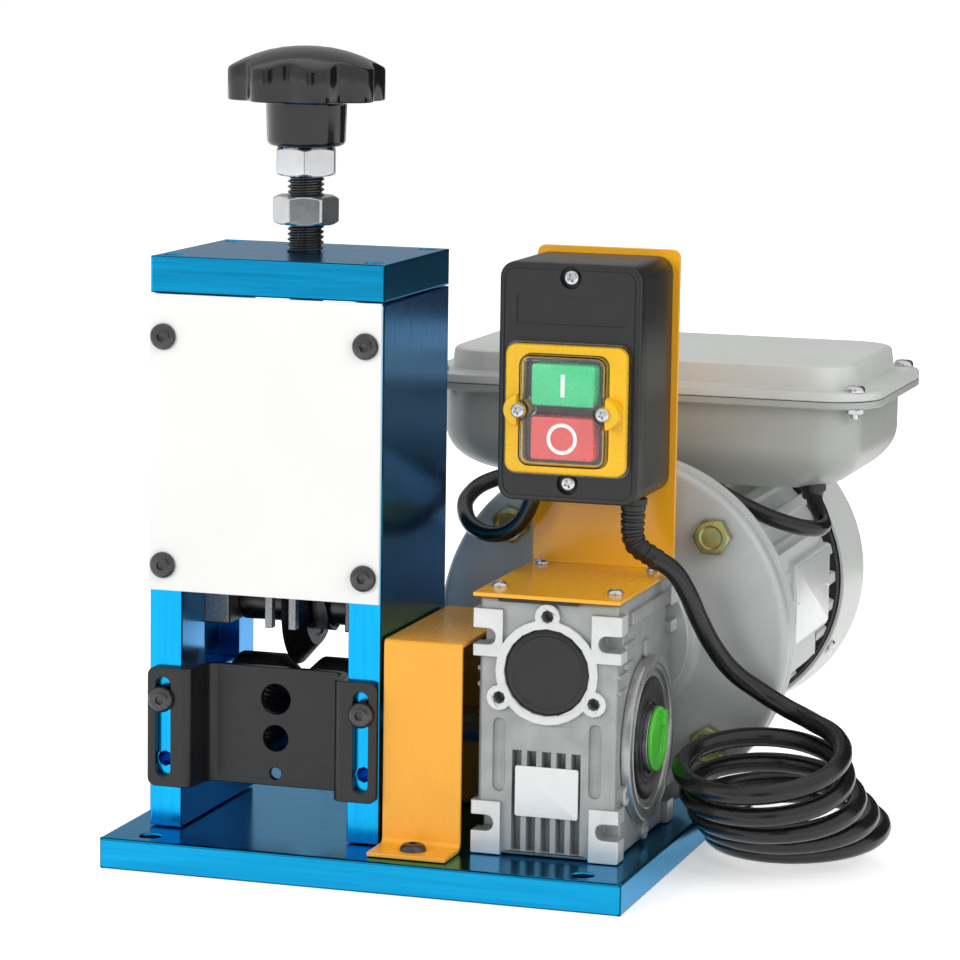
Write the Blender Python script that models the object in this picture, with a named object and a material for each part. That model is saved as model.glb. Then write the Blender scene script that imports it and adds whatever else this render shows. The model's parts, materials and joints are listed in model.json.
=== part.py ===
"""Bench wire stripping machine: a tower with a feed roller and a set blade, driven through a worm gearbox.

The origin is the middle of the base plate's underside, +X to the machine's right, +Y to its back, +Z up.
All lengths are in metres.
"""

import math

import bmesh
import bpy
from mathutils import Vector

# Fits and roundness
GAP = 0.0003
OVERRUN = 0.002
SUNK = 0.001
FINE_ROUND = 28
ROUND = 20
SMALL_ROUND = 12
HOLE_ROUND = 8
THREAD_ROUND = 9
SMOOTH_ANGLE = math.radians(32)
UPWARDS = (0, 0, 1)
DOWNWARDS = (0, 0, -1)
LEFTWARDS = (-1, 0, 0)

# Base plate
BASE_LENGTH = 0.204
BASE_WIDTH = 0.168
BASE_THICKNESS = 0.012
BASE_EDGE = 0.0006
BASE_HOLE_RADIUS = 0.0042
BASE_HOLE_SIDE_INSET = 0.017
BASE_HOLE_FRONT_INSET = 0.009

# Mechanism axes: the roller, the blade and the screw share one upright plane
MECHANISM_X = -0.04525
MECHANISM_Y = -0.018
FEED_AXIS_Z = 0.0523

# Tower
TOWER_WIDTH = 0.0925
TOWER_DEPTH = 0.077
TOWER_CENTRE_Y = -0.0215
SIDE_THICKNESS = 0.013
SIDE_HEIGHT = 0.2037
TOP_THICKNESS = 0.014
TOWER_EDGE = 0.0005
GROOVE_WIDTH = 0.0365
GROOVE_DEPTH = 0.0083
GROOVE_BOTTOM_Z = 0.068
TOP_SCREW_RADIUS = 0.0035
TOP_SCREW_SINK = 0.004
TOP_SCREW_FRONT_INSET = 0.007

# Front cover plate and button screws
COVER_PLATE_THICKNESS = 0.002
COVER_PLATE_SIDE_INSET = 0.0003
COVER_PLATE_BOTTOM_Z = 0.104
COVER_PLATE_TOP_INSET = 0.0005
COVER_SCREW_INSET = 0.00625
COVER_SCREW_TOP_INSET = 0.0152
COVER_SCREW_LOW_INSET = 0.00975
BUTTON_HEAD_RADIUS = 0.005
BUTTON_HEAD_HEIGHT = 0.0027
BUTTON_SOCKET_ACROSS = 0.003
BUTTON_SOCKET_DEPTH = 0.0014
SCREW_SHANK_RADIUS = 0.0025
SCREW_SHANK_LENGTH = 0.012

# Guide plate
GUIDE_THICKNESS = 0.003
GUIDE_HEIGHT = 0.046
GUIDE_BOTTOM_Z = 0.0285
GUIDE_BEND_RADIUS = 0.0040
GUIDE_STEP_TOP_HALF = 0.02875
GUIDE_STEP_LOW_HALF = 0.02675
GUIDE_STEP_DEPTH = 0.016
GUIDE_SLOT_OFFSET = 0.0396
GUIDE_SLOT_WIDTH = 0.0059
GUIDE_SLOT_LOW_Z = 0.0324
GUIDE_SLOT_TOP_Z = 0.0708
GUIDE_SCREW_Z = 0.0623
GUIDE_SPARE_HOLE_Z = 0.0388
GUIDE_WIRE_HOLES = ((0.00585, 0.0622), (0.005, 0.047), (0.00235, 0.0333))

# Feed shaft, roller and bearings
OUTPUT_BORE_RADIUS = 0.007
FEED_ROLLER_RADIUS = 0.0215
FEED_ROLLER_HALF_WIDTH = 0.0263
FEED_GROOVE_HALF_WIDTH = 0.008
FEED_GROOVE_DEPTH = 0.008
FEED_ROLLER_CHAMFER = 0.001
FEED_BEARING_RADIUS = 0.015
FEED_BEARING_WIDTH = 0.009
FEED_BEARING_CHAMFER = 0.0008
FEED_SHOULDER_RADIUS = 0.0095

# Blade carriage
BLADE_AXIS_Z = 0.095
BLOCK_LENGTH = 0.018
BLOCK_DEPTH = 0.0359
BLOCK_BOTTOM_Z = 0.0875
BLOCK_TOP_Z = 0.137
BLOCK_EDGE = 0.0006
UPPER_SHAFT_RADIUS = 0.008
JOURNAL_RADIUS = 0.0055
JOURNAL_LENGTH = 0.014
CROSSHEAD_BOTTOM_Z = 0.1215
CUTTER_RADIUS = 0.024
CUTTER_LEFT_DEPTH = 0.0016
CUTTER_LEFT_RADIUS = 0.020
CUTTER_RIGHT_DEPTH = 0.007
CUTTER_RIGHT_RADIUS = 0.0163
CUTTER_EDGE_WIDTH = 0.0002
BLADE_NUT_ACROSS = 0.0203
BLADE_NUT_THICKNESS = 0.0065
FORK_HALF_OUTER = 0.0062
FORK_HALF_SLOT = 0.0033
FORK_FRONT_Y = -0.043
FORK_THICKNESS = 0.004
FORK_BOTTOM_Z = 0.0885
FORK_SLOT_TOP_Z = 0.1205

# Adjusting screw, knob and nuts
SCREW_RADIUS = 0.007
SCREW_BOTTOM_Z = 0.1245
SCREW_REACH_IN_KNOB = 0.0252
SCREW_TIP_CHAMFER = 0.001
SCREW_CLEARANCE = 0.0003
KNOB_RADIUS = 0.030
KNOB_LOBE_DEPTH = 0.0036
KNOB_LOBES = 8
KNOB_LOBE_TURN_DEG = 27
KNOB_LOBE_POINTS = 5
KNOB_HUB_RADIUS = 0.0155
KNOB_HUB_EDGE = 0.0013
KNOB_HUB_LENGTH = 0.0172
KNOB_HEAD_HEIGHT = 0.0205
NUT_ACROSS = 0.022
NUT_THICKNESS = 0.011
NUT_CHAMFER = 0.0012
JAM_NUT_TOP_RISE = 0.0397
LOCK_NUT_RISE = 0.0103

# Coupling cover
SHEET_THICKNESS = 0.0016
COUPLING_COVER_LEFT_X = 0.0022
COUPLING_COVER_WIDTH = 0.0306
COUPLING_COVER_FRONT_Y = -0.0597
COUPLING_COVER_BACK_Y = 0.0175
COUPLING_COVER_TOP_Z = 0.091
COUPLING_COVER_FOOT = 0.0178
COUPLING_COVER_BEND = 0.002
FOOT_SCREW_HOLE_RADIUS = 0.0028

# Gearbox
GEARBOX_X = 0.06475
GEARBOX_WIDTH = 0.057
GEARBOX_DEPTH = 0.080
GEARBOX_HEIGHT = 0.097
GEARBOX_RECESS = 0.002
GEARBOX_EDGE = 0.0012
PAD_WIDTH = 0.0115
PAD_DEPTH = 0.009
PAD_TOP_HEIGHT = 0.018
PAD_LOW_HEIGHT = 0.0202
PAD_TOP_INSET = 0.0043
PAD_SLOT_WIDTH = 0.006
PAD_SLOT_DEPTH = 0.0088
PAD_SLOT_TOP_Z = 0.0945
PAD_SLOT_LOW_Z = 0.024
CENTRE_DISTANCE = 0.030
FACE_RING_RADIUS = 0.0198
FACE_BOSS_CIRCLE = 0.021
FACE_BOSS_RADIUS = 0.0050
FACE_BOSS_HOLE = 0.0023
FACE_BOSS_HOLE_DEPTH = 0.008
END_CAP_RADIUS = 0.016
END_CAP_THICKNESS = 0.0022
WORM_BORE_RADIUS = 0.0115
FRONT_FINS = 4
FIN_SPAN = 0.0193
FIN_THICKNESS = 0.0022
FIN_TOP_Z = 0.052
FIN_PANEL_DEPTH = 0.006
FIN_FOOT_HEIGHT = 0.0018
SIDE_GROOVE_WIDTH = 0.0045
SIDE_GROOVE_OFFSET = 0.0185
SIDE_GROOVE_DEPTH = 0.002
SIDE_GROOVE_LOW_Z = 0.036
SIDE_GROOVE_TOP_Z = 0.0835
WHEEL_CAVITY_RADIUS = 0.0252
WHEEL_CAVITY_WIDTH = 0.0165
HOLLOW_SHAFT_RADIUS = 0.0125
HOLLOW_SHAFT_LENGTH = 0.063
SIDE_COVER_RADIUS = 0.0315
SIDE_COVER_THICKNESS = 0.0036
SIDE_COVER_RIM = 0.0045
SIDE_COVER_DISH = 0.0014
SIDE_RIBS = 2
SIDE_RIB_LENGTH = 0.011
SIDE_RIB_THICKNESS = 0.0016
BORE_PLUG_RADIUS = 0.0123
BORE_PLUG_THICKNESS = 0.0014
BORE_PLUG_DEPTH = 0.008
BORE_PLUG_TAB = 0.006
BORE_PLUG_TAB_RISE = 0.0007

# Worm gear
TOOTH_MODULE = 0.00144
WORM_STARTS = 2
WHEEL_TEETH = 30
TOOTH_BACKLASH = 0.0007
WORM_THREAD_LENGTH = 0.030
WORM_QUILL_RADIUS = 0.0095
WORM_BORE_DEPTH = 0.020
WORM_FRONT_LENGTH = 0.018
WHEEL_WIDTH = 0.012
TOOTH_FLANK_ANGLE = math.radians(20)
WHEEL_ROOT_SHARE = 1.2
WORM_ROOT_SHARE = 1.25
THREAD_ROOT_SHARE = 1.5

# Flanges and motor
FLANGE_RADIUS = 0.070
FLANGE_EDGE = 0.003
INPUT_NECK_LENGTH = 0.0067
INPUT_NECK_RADIUS = 0.033
INPUT_FLANGE_THICKNESS = 0.008
MOTOR_FLANGE_THICKNESS = 0.0087
FLANGE_BOLT_OFFSET = 0.04066
BOLT_ACROSS = 0.013
BOLT_HEAD = 0.0053
BOLT_RADIUS = 0.004
BOLT_REACH = 0.013
MOTOR_RADIUS = 0.0575
MOTOR_RIB_DEPTH = 0.0028
MOTOR_RIBS = 30
MOTOR_LENGTH = 0.125
MOTOR_PAD_HALF_HEIGHT = 0.026
MOTOR_PAD_OFFSET = 0.0545
MOTOR_PAD_START = 0.018
MOTOR_PAD_LENGTH = 0.085
STATOR_BORE_RADIUS = 0.031
ROTOR_RADIUS = 0.030
ROTOR_CORE_LENGTH = 0.080
ROTOR_CORE_START = 0.022
MOTOR_SHAFT_RADIUS = 0.0055
SHIELD_SPIGOT_RADIUS = 0.030
SHIELD_SPIGOT_LENGTH = 0.006
REAR_SHIELD_THICKNESS = 0.009
COWL_FRONT_RADIUS = 0.0605
COWL_REAR_RADIUS = 0.0625
COWL_LENGTH = 0.038
COWL_WALL = 0.0015
COWL_CORNER = 0.010
COWL_START = 0.003
GRILLE_SLOTS = 10
GRILLE_SLOT_WIDTH = 0.0045
GRILLE_RINGS = ((0.012, 0.026), (0.031, 0.046))
FAN_RADIUS = 0.048
FAN_HUB_RADIUS = 0.012
FAN_WIDTH = 0.014
FAN_BLADES = 6
FAN_BLADE_THICKNESS = 0.002
FAN_START = 0.004

# Terminal box
TERMINAL_CENTRE_Y = 0.118
TERMINAL_HALF_X = 0.0935
TERMINAL_HALF_Y = 0.055
TERMINAL_CORNER = 0.020
TERMINAL_BOTTOM_Z = 0.134
TERMINAL_WAIST_Z = 0.153
TERMINAL_RIM_Z = 0.1721
TERMINAL_RIM = 0.0028
TERMINAL_WALL_INSET = 0.0045
TERMINAL_BELLY = 0.024
TERMINAL_LID_RIM = 0.0036
TERMINAL_LID_HEIGHT = 0.013
TERMINAL_LID_INSET_X = 0.0115
TERMINAL_LID_INSET_Y = 0.005
SADDLE_GAP = 0.0016

# Switch bracket, box, frame, cover and buttons
BRACKET_THICKNESS = 0.0015
BRACKET_FRONT_Y = -0.0595
BRACKET_BACK_Y = 0.0175
BRACKET_TOP_Z = 0.2335
BRACKET_BEND = 0.002
BRACKET_CORNER = 0.003
SWITCH_X = 0.0631
SWITCH_WIDTH = 0.0548
SWITCH_BOTTOM_Z = 0.1415
SWITCH_TOP_Z = 0.231
SWITCH_FRONT_Y = -0.029
SWITCH_LID_DEPTH = 0.007
SWITCH_CORNER = 0.006
SWITCH_EDGE = 0.001
SWITCH_ENTRY_DEPTH = 0.010
FRAME_CENTRE_Z = 0.1767
FRAME_HALF_WIDTH = 0.02335
FRAME_HALF_HEIGHT = 0.0241
FRAME_THICKNESS = 0.0035
FRAME_CORNER = 0.004
LUG_RADIUS = 0.0055
LUG_OFFSET = 0.0163
LUG_REACH = 0.0052
POST_RADIUS = 0.0028
CLEAR_HALF_WIDTH = 0.0168
CLEAR_HALF_HEIGHT = 0.0208
CLEAR_REACH = 0.0108
CLEAR_WALL = 0.001
CLEAR_LIP = 0.001
CLEAR_LIP_THICKNESS = 0.0009
CLEAR_CORNER = 0.004
BUTTON_HALF_WIDTH = 0.0122
BUTTON_FACE_Y = -0.037
BUTTON_THICKNESS = 0.0065
BUTTON_EDGE = 0.0006
BUTTON_TRAVEL = 0.003
BUTTON_HEIGHTS = {"start_button": (0.1863, 0.00775), "stop_button": (0.1665, 0.008)}

# Cords
LEAD_RADIUS = 0.00325
CORD_RADIUS = 0.0037
CORD_SPACING = 2.4
LEAD_ROUTE = (
    (0.1300, 0.0880, 0.1405),
    (0.1312, 0.0858, 0.1315),
    (0.1356, 0.0800, 0.1248),
    (0.1380, 0.0715, 0.1222),
    (0.1345, 0.0635, 0.1225),
    (0.1260, 0.0585, 0.1250),
    (0.1140, 0.0565, 0.1295),
    (0.1010, 0.0560, 0.1355),
    (0.0850, 0.0560, 0.1430),
    (0.0648, 0.0560, 0.1470),
    (0.0440, 0.0560, 0.1440),
    (0.0250, 0.0535, 0.1400),
    (0.0120, 0.0450, 0.1375),
    (0.0060, 0.0325, 0.1332),
    (0.0080, 0.0195, 0.1275),
    (0.0150, 0.0115, 0.1228),
    (0.0240, 0.0075, 0.1218),
    (0.0322, 0.0055, 0.1252),
    (0.0378, 0.0050, 0.1325),
    (0.0400, 0.0050, 0.1410),
    (0.0400, 0.0050, 0.1500),
)
GLAND_TOP_X = 0.083
GLAND_TOP_Y = -0.008
GLAND_RADIUS = 0.0062
GLAND_LENGTH = 0.012
CORD_ROUTE = (
    (0.0830, -0.0080, 0.1289),
    (0.0846, -0.0078, 0.1236),
    (0.0908, -0.0064, 0.1192),
    (0.0977, -0.0038, 0.1144),
    (0.1027, -0.0005, 0.1058),
    (0.1066, 0.0040, 0.0945),
    (0.1112, 0.0092, 0.0835),
    (0.1178, 0.0150, 0.0732),
    (0.1268, 0.0203, 0.0655),
    (0.1370, 0.0206, 0.0598),
)
# The middle of each loop in the open coil, its half length and half depth, and its slope up towards the back
COIL_LOOPS = (
    (0.1348, -0.0110, 0.0494, 0.0310, 0.0300, 14.3),
    (0.1368, -0.0110, 0.0404, 0.0300, 0.0300, 13.7),
    (0.1390, -0.0050, 0.0307, 0.0310, 0.0310, 10.2),
    (0.1400, 0.0100, 0.0217, 0.0320, 0.0330, 7.1),
    (0.1405, 0.0240, 0.0147, 0.0330, 0.0350, 3.9),
    (0.1415, 0.0400, 0.0042, 0.0340, 0.0370, 0.5),
)
COIL_POINTS = 24
COIL_START_ANGLE = math.radians(60)
COIL_END_ANGLE = math.radians(180)
TAIL_ROUTE = (
    (0.1068, 0.0560, 0.0055),
    (0.1065, 0.0700, 0.0042),
    (0.1065, 0.0830, 0.0040),
    (0.0977, 0.1032, 0.0040),
    (0.0765, 0.1120, 0.0040),
    (0.0500, 0.1105, 0.0040),
    (0.0250, 0.1060, 0.0040),
)
# The stored coil lies behind the base: round loops wound in on the floor and out again on top
STORED_X = 0.0
STORED_Y = 0.150
STORED_RADIUS = 0.046
STORED_INNER_RADIUS = 0.0296
STORED_LOW_Z = 0.0040
STORED_LAYER = 0.0080
STORED_TURNS_IN = 2
STORED_CLIMB = 0.5
STORED_TURNS = 3
STORED_PITCH_OUT = 0.0095
PLUG_START_X = -0.034
PLUG_WIDTH = 0.026
PLUG_HEIGHT = 0.024
PLUG_LENGTH = 0.032
PLUG_EDGE = 0.003
PLUG_RELIEF_LENGTH = 0.015
PLUG_RELIEF_RADIUS = 0.006
PLUG_RIBS = 4
PLUG_RIB_SHARE = 0.6
PLUG_BLADE_LENGTH = 0.018
PLUG_BLADE_WIDTH = 0.0062
PLUG_BLADE_THICKNESS = 0.0016
PLUG_BLADE_OFFSET = 0.0065

# Places that follow from the sizes above
TOWER_LEFT_X = MECHANISM_X - TOWER_WIDTH / 2
TOWER_RIGHT_X = MECHANISM_X + TOWER_WIDTH / 2
TOWER_FRONT_Y = TOWER_CENTRE_Y - TOWER_DEPTH / 2
TOWER_BACK_Y = TOWER_CENTRE_Y + TOWER_DEPTH / 2
SEAT_Z = BASE_THICKNESS + GAP
SIDE_TOP_Z = SEAT_Z + SIDE_HEIGHT
TOWER_TOP_Z = SIDE_TOP_Z + GAP + TOP_THICKNESS
COVER_PLATE_TOP_Z = SIDE_TOP_Z - COVER_PLATE_TOP_INSET
COVER_SCREW_TOP_Z = COVER_PLATE_TOP_Z - COVER_SCREW_TOP_INSET
COVER_SCREW_LOW_Z = COVER_PLATE_BOTTOM_Z + COVER_SCREW_LOW_INSET
LOCK_NUT_BOTTOM_Z = TOWER_TOP_Z + LOCK_NUT_RISE
JAM_NUT_TOP_Z = TOWER_TOP_Z + JAM_NUT_TOP_RISE
KNOB_HUB_BOTTOM_Z = JAM_NUT_TOP_Z + GAP
KNOB_SKIRT_Z = KNOB_HUB_BOTTOM_Z + KNOB_HUB_LENGTH
KNOB_TOP_Z = KNOB_SKIRT_Z + KNOB_HEAD_HEIGHT
SCREW_TOP_Z = KNOB_HUB_BOTTOM_Z + SCREW_REACH_IN_KNOB
INNER_LEFT_X = TOWER_LEFT_X + SIDE_THICKNESS
INNER_RIGHT_X = TOWER_RIGHT_X - SIDE_THICKNESS
SCREW_HOLE_X = TOWER_WIDTH / 2 - COVER_SCREW_INSET
WORM_AXIS_Z = FEED_AXIS_Z + CENTRE_DISTANCE
GEARBOX_FRONT_Y = MECHANISM_Y - GEARBOX_DEPTH / 2
GEARBOX_BACK_Y = MECHANISM_Y + GEARBOX_DEPTH / 2
GEARBOX_TOP_Z = SEAT_Z + GEARBOX_HEIGHT
GEARBOX_LEFT_X = GEARBOX_X - GEARBOX_WIDTH / 2
GEARBOX_RIGHT_X = GEARBOX_X + GEARBOX_WIDTH / 2
HOLLOW_START_X = GEARBOX_X - HOLLOW_SHAFT_LENGTH / 2
HOLLOW_END_X = GEARBOX_X + HOLLOW_SHAFT_LENGTH / 2
FLANGE_START_Y = GEARBOX_BACK_Y + GAP
INPUT_FACE_Y = FLANGE_START_Y + INPUT_NECK_LENGTH
INPUT_BACK_Y = INPUT_FACE_Y + INPUT_FLANGE_THICKNESS
SHIELD_START_Y = INPUT_BACK_Y + GAP
SHIELD_BACK_Y = SHIELD_START_Y + MOTOR_FLANGE_THICKNESS
MOTOR_START_Y = SHIELD_BACK_Y + GAP
MOTOR_END_Y = MOTOR_START_Y + MOTOR_LENGTH
REAR_START_Y = MOTOR_END_Y + GAP
REAR_END_Y = REAR_START_Y + REAR_SHIELD_THICKNESS
WORM_PITCH_RADIUS = CENTRE_DISTANCE - TOOTH_MODULE * WHEEL_TEETH / 2
WHEEL_PITCH_RADIUS = TOOTH_MODULE * WHEEL_TEETH / 2
TOOTH_PITCH = math.pi * TOOTH_MODULE
WORM_LEAD = WORM_STARTS * TOOTH_PITCH
SHAFT_RADIUS = OUTPUT_BORE_RADIUS - GAP

FINISHES = {
    "blue_anodised": ((0.010, 0.255, 0.700), 0.32, 0.75),
    "white_sheet": ((0.860, 0.860, 0.850), 0.45, 0.0),
    "black_oxide": ((0.020, 0.020, 0.022), 0.38, 0.60),
    "black_paint": ((0.025, 0.025, 0.027), 0.42, 0.0),
    "orange_paint": ((0.870, 0.400, 0.030), 0.40, 0.0),
    "amber_paint": ((0.850, 0.370, 0.015), 0.40, 0.0),
    "block_grey": ((0.330, 0.340, 0.350), 0.45, 0.70),
    "tool_steel": ((0.400, 0.410, 0.430), 0.30, 0.90),
    "bright_zinc": ((0.700, 0.720, 0.740), 0.25, 0.90),
    "olive_zinc": ((0.330, 0.300, 0.150), 0.38, 0.80),
    "cast_aluminium": ((0.470, 0.485, 0.500), 0.50, 0.50),
    "motor_grey": ((0.350, 0.370, 0.385), 0.48, 0.10),
    "bronze": ((0.520, 0.330, 0.110), 0.35, 0.90),
    "charcoal_plastic": ((0.045, 0.047, 0.050), 0.45, 0.0),
    "knob_plastic": ((0.012, 0.012, 0.013), 0.20, 0.0),
    "yellow_plastic": ((0.900, 0.550, 0.010), 0.35, 0.0),
    "clear_plastic": ((0.800, 0.820, 0.820), 0.10, 0.0),
    "green_plastic": ((0.030, 0.480, 0.180), 0.30, 0.0),
    "red_plastic": ((0.680, 0.060, 0.060), 0.30, 0.0),
    "plug_green": ((0.050, 0.600, 0.060), 0.45, 0.0),
    "cord_rubber": ((0.020, 0.020, 0.020), 0.55, 0.0),
}


def clear_scene():
    for obj in list(bpy.data.objects):
        bpy.data.objects.remove(obj, do_unlink=True)


def make_material(name):
    colour, roughness, metallic = FINISHES[name]
    material = bpy.data.materials.new(name)
    material.use_nodes = True
    shader = material.node_tree.nodes["Principled BSDF"]
    shader.inputs["Base Color"].default_value = (*colour, 1)
    shader.inputs["Roughness"].default_value = roughness
    shader.inputs["Metallic"].default_value = metallic
    material.diffuse_color = (*colour, 1)
    return material


# Outlines, as lists of (u, v) points


def circle(radius, centre=(0, 0), segments=SMALL_ROUND, start=0.0):
    """Points round a circle."""
    angles = (start + math.tau * i / segments for i in range(segments))
    return [(centre[0] + radius * math.cos(a), centre[1] + radius * math.sin(a)) for a in angles]


def rectangle(half_u, half_v, centre=(0, 0)):
    """The four corners of a rectangle."""
    shares = ((-1, -1), (1, -1), (1, 1), (-1, 1))
    return [(centre[0] + half_u * a, centre[1] + half_v * b) for a, b in shares]


def hexagon(across, centre=(0, 0), start=0.0):
    """A hexagon of the given size across its flats."""
    return circle(across / math.sqrt(3), centre, 6, start)


def filleted(points, radius, steps=3, closed=True):
    """The same path with each corner replaced by an arc."""
    points = [Vector(p) for p in points]
    rounded = []
    for i, corner in enumerate(points):
        if not closed and i in (0, len(points) - 1):
            rounded.append(tuple(corner))
            continue
        before = (points[i - 1] - corner).normalized()
        after = (points[(i + 1) % len(points)] - corner).normalized()
        half = before.angle(after) / 2
        middle = corner + (before + after).normalized() * radius / math.sin(half)
        first = corner + before * radius / math.tan(half) - middle
        last = corner + after * radius / math.tan(half) - middle
        for step in range(steps + 1):
            rounded.append(tuple(middle + first.slerp(last, step / steps).normalized() * radius))
    return rounded


def slot(width, centre, low, top):
    """An upright slot with round ends."""
    reach = width / 2
    ends = ((top - reach, 0), (low + reach, math.pi))
    points = []
    for height, start in ends:
        for step in range(SMALL_ROUND // 2 + 1):
            angle = start + math.tau * step / SMALL_ROUND
            points.append((centre + reach * math.cos(angle), height + reach * math.sin(angle)))
    return points


def sheet_outline(path, thickness):
    """The closed outline of a bent sheet that lies to the right of a path along its outer face."""
    path = [Vector(p) for p in path]
    inner = []
    for i, point in enumerate(path):
        before = (point - path[i - 1]).normalized() if i else (path[1] - point).normalized()
        after = (path[i + 1] - point).normalized() if i < len(path) - 1 else before
        normal_before = Vector((before.y, -before.x))
        normal_after = Vector((after.y, -after.x))
        middle = (normal_before + normal_after).normalized()
        inner.append(point + middle * thickness / middle.dot(normal_before))
    return [tuple(p) for p in path + inner[::-1]]


# Solids, as bmeshes in the machine's coordinates


def oriented(u, v, w, axis):
    """The point at w along the axis, with u and v along the other two in the order X, Y, Z."""
    return {"X": (w, u, v), "Y": (u, w, v), "Z": (u, v, w)}[axis]


def prism(outline, start, end, axis):
    """An outline extruded along an axis."""
    shape = bmesh.new()
    face = shape.faces.new([shape.verts.new(oriented(u, v, start, axis)) for u, v in outline])
    made = bmesh.ops.extrude_face_region(shape, geom=[face])["geom"]
    moved = [item for item in made if isinstance(item, bmesh.types.BMVert)]
    bmesh.ops.translate(shape, vec=oriented(0, 0, end - start, axis), verts=moved)
    bmesh.ops.recalc_face_normals(shape, faces=shape.faces)
    return shape


def block(low, high, edge=0.0):
    """A box between two corners, with its edges taken off by a chamfer."""
    outline = [(low[0], low[1]), (high[0], low[1]), (high[0], high[1]), (low[0], high[1])]
    shape = prism(outline, low[2], high[2], "Z")
    if not edge:
        return shape
    sharp = [seam for seam in shape.edges if seam.calc_face_angle(0) > SMOOTH_ANGLE]
    return bevelled(shape, sharp, edge)


def bevelled(shape, edges, width, segments=1):
    """The shape with some of its edges rounded or chamfered."""
    bmesh.ops.bevel(
        shape, geom=edges, offset=width, segments=segments, profile=0.5, affect="EDGES",
        clamp_overlap=True,
    )
    return shape


def rod(radius, centre, start, end, axis, segments=SMALL_ROUND):
    """A round bar along an axis."""
    return prism(circle(radius, centre, segments), start, end, axis)


def turned(profile, centre, axis, segments=ROUND):
    """A closed profile of (along, radius) points turned about an axis line."""
    shape = bmesh.new()
    rings = []
    for along, radius in profile:
        points = circle(radius, centre, segments) if radius else [centre]
        rings.append([shape.verts.new(oriented(u, v, along, axis)) for u, v in points])
    for ring, following in zip(rings, rings[1:] + rings[:1]):
        if len(ring) == len(following) == 1:
            continue
        for i in range(segments):
            near = (ring[i - 1], ring[i]) if len(ring) > 1 else (ring[0],)
            far = (following[i], following[i - 1]) if len(following) > 1 else (following[0],)
            shape.faces.new(near + far)
    bmesh.ops.recalc_face_normals(shape, faces=shape.faces)
    return shape


def lofted(sections):
    """A closed skin over sections that have as many points each."""
    shape = bmesh.new()
    rings = [[shape.verts.new(point) for point in section] for section in sections]
    for ring, following in zip(rings, rings[1:]):
        for i in range(len(ring)):
            shape.faces.new((ring[i - 1], ring[i], following[i], following[i - 1]))
    shape.faces.new(rings[0])
    shape.faces.new(rings[-1])
    bmesh.ops.recalc_face_normals(shape, faces=shape.faces)
    return shape


# Objects


def mesh_object(name, shape, origin):
    """An object whose mesh is the shape, measured from the origin."""
    bmesh.ops.translate(shape, vec=-Vector(origin), verts=shape.verts)
    mesh = bpy.data.meshes.new(name)
    shape.to_mesh(mesh)
    shape.free()
    mesh.shade_smooth()
    mesh.set_sharp_from_angle(angle=SMOOTH_ANGLE)
    obj = bpy.data.objects.new(name, mesh)
    bpy.context.scene.collection.objects.link(obj)
    return obj


def combine(piece, operation, shape, origin):
    """Adds a Boolean modifier to a piece, with the shape as its hidden helper, and returns the helper."""
    helper = mesh_object(f"{piece.name}_helper_{len(piece.modifiers) + 1}", shape, origin)
    helper.parent = piece
    helper.hide_render = True
    helper.display_type = "WIRE"
    modifier = piece.modifiers.new(operation.title(), "BOOLEAN")
    modifier.operation = operation
    modifier.solver = "EXACT"
    modifier.object = helper
    return helper


def piece(name, finish, shape, joined=(), cut=(), origin=(0, 0, 0), parent=None):
    """A named part: a shape, the shapes joined to it and the shapes cut from it."""
    obj = mesh_object(name, shape, origin)
    obj.data.materials.append(bpy.data.materials.get(finish) or make_material(finish))
    put_at(obj, origin, parent)
    for extra in joined:
        combine(obj, "UNION", extra, origin)
    for cutter in cut:
        combine(obj, "DIFFERENCE", cutter, origin)
    return obj


def put_at(obj, origin, parent):
    """Places an object at a point of the machine, under a parent that is only moved and never turned."""
    above = parent
    offset = Vector(origin)
    while above:
        offset -= above.location
        above = above.parent
    obj.location = offset
    obj.parent = parent


def pivot(name, origin, parent=None):
    """An empty on a joint's axis, which carries the pieces that move together."""
    empty = bpy.data.objects.new(name, None)
    bpy.context.scene.collection.objects.link(empty)
    put_at(empty, origin, parent)
    return empty


# The base and the tower


def make_base_plate():
    holes = []
    for side in (-1, 1):
        for end in (-1, 1):
            x = side * (BASE_LENGTH / 2 - BASE_HOLE_SIDE_INSET)
            y = end * (BASE_WIDTH / 2 - BASE_HOLE_FRONT_INSET)
            holes.append(
                rod(BASE_HOLE_RADIUS, (x, y), -OVERRUN, BASE_THICKNESS + OVERRUN, "Z", SMALL_ROUND)
            )
    low = (-BASE_LENGTH / 2, -BASE_WIDTH / 2, 0)
    high = (BASE_LENGTH / 2, BASE_WIDTH / 2, BASE_THICKNESS)
    piece("base_plate", "blue_anodised", block(low, high, BASE_EDGE), cut=holes)


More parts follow.
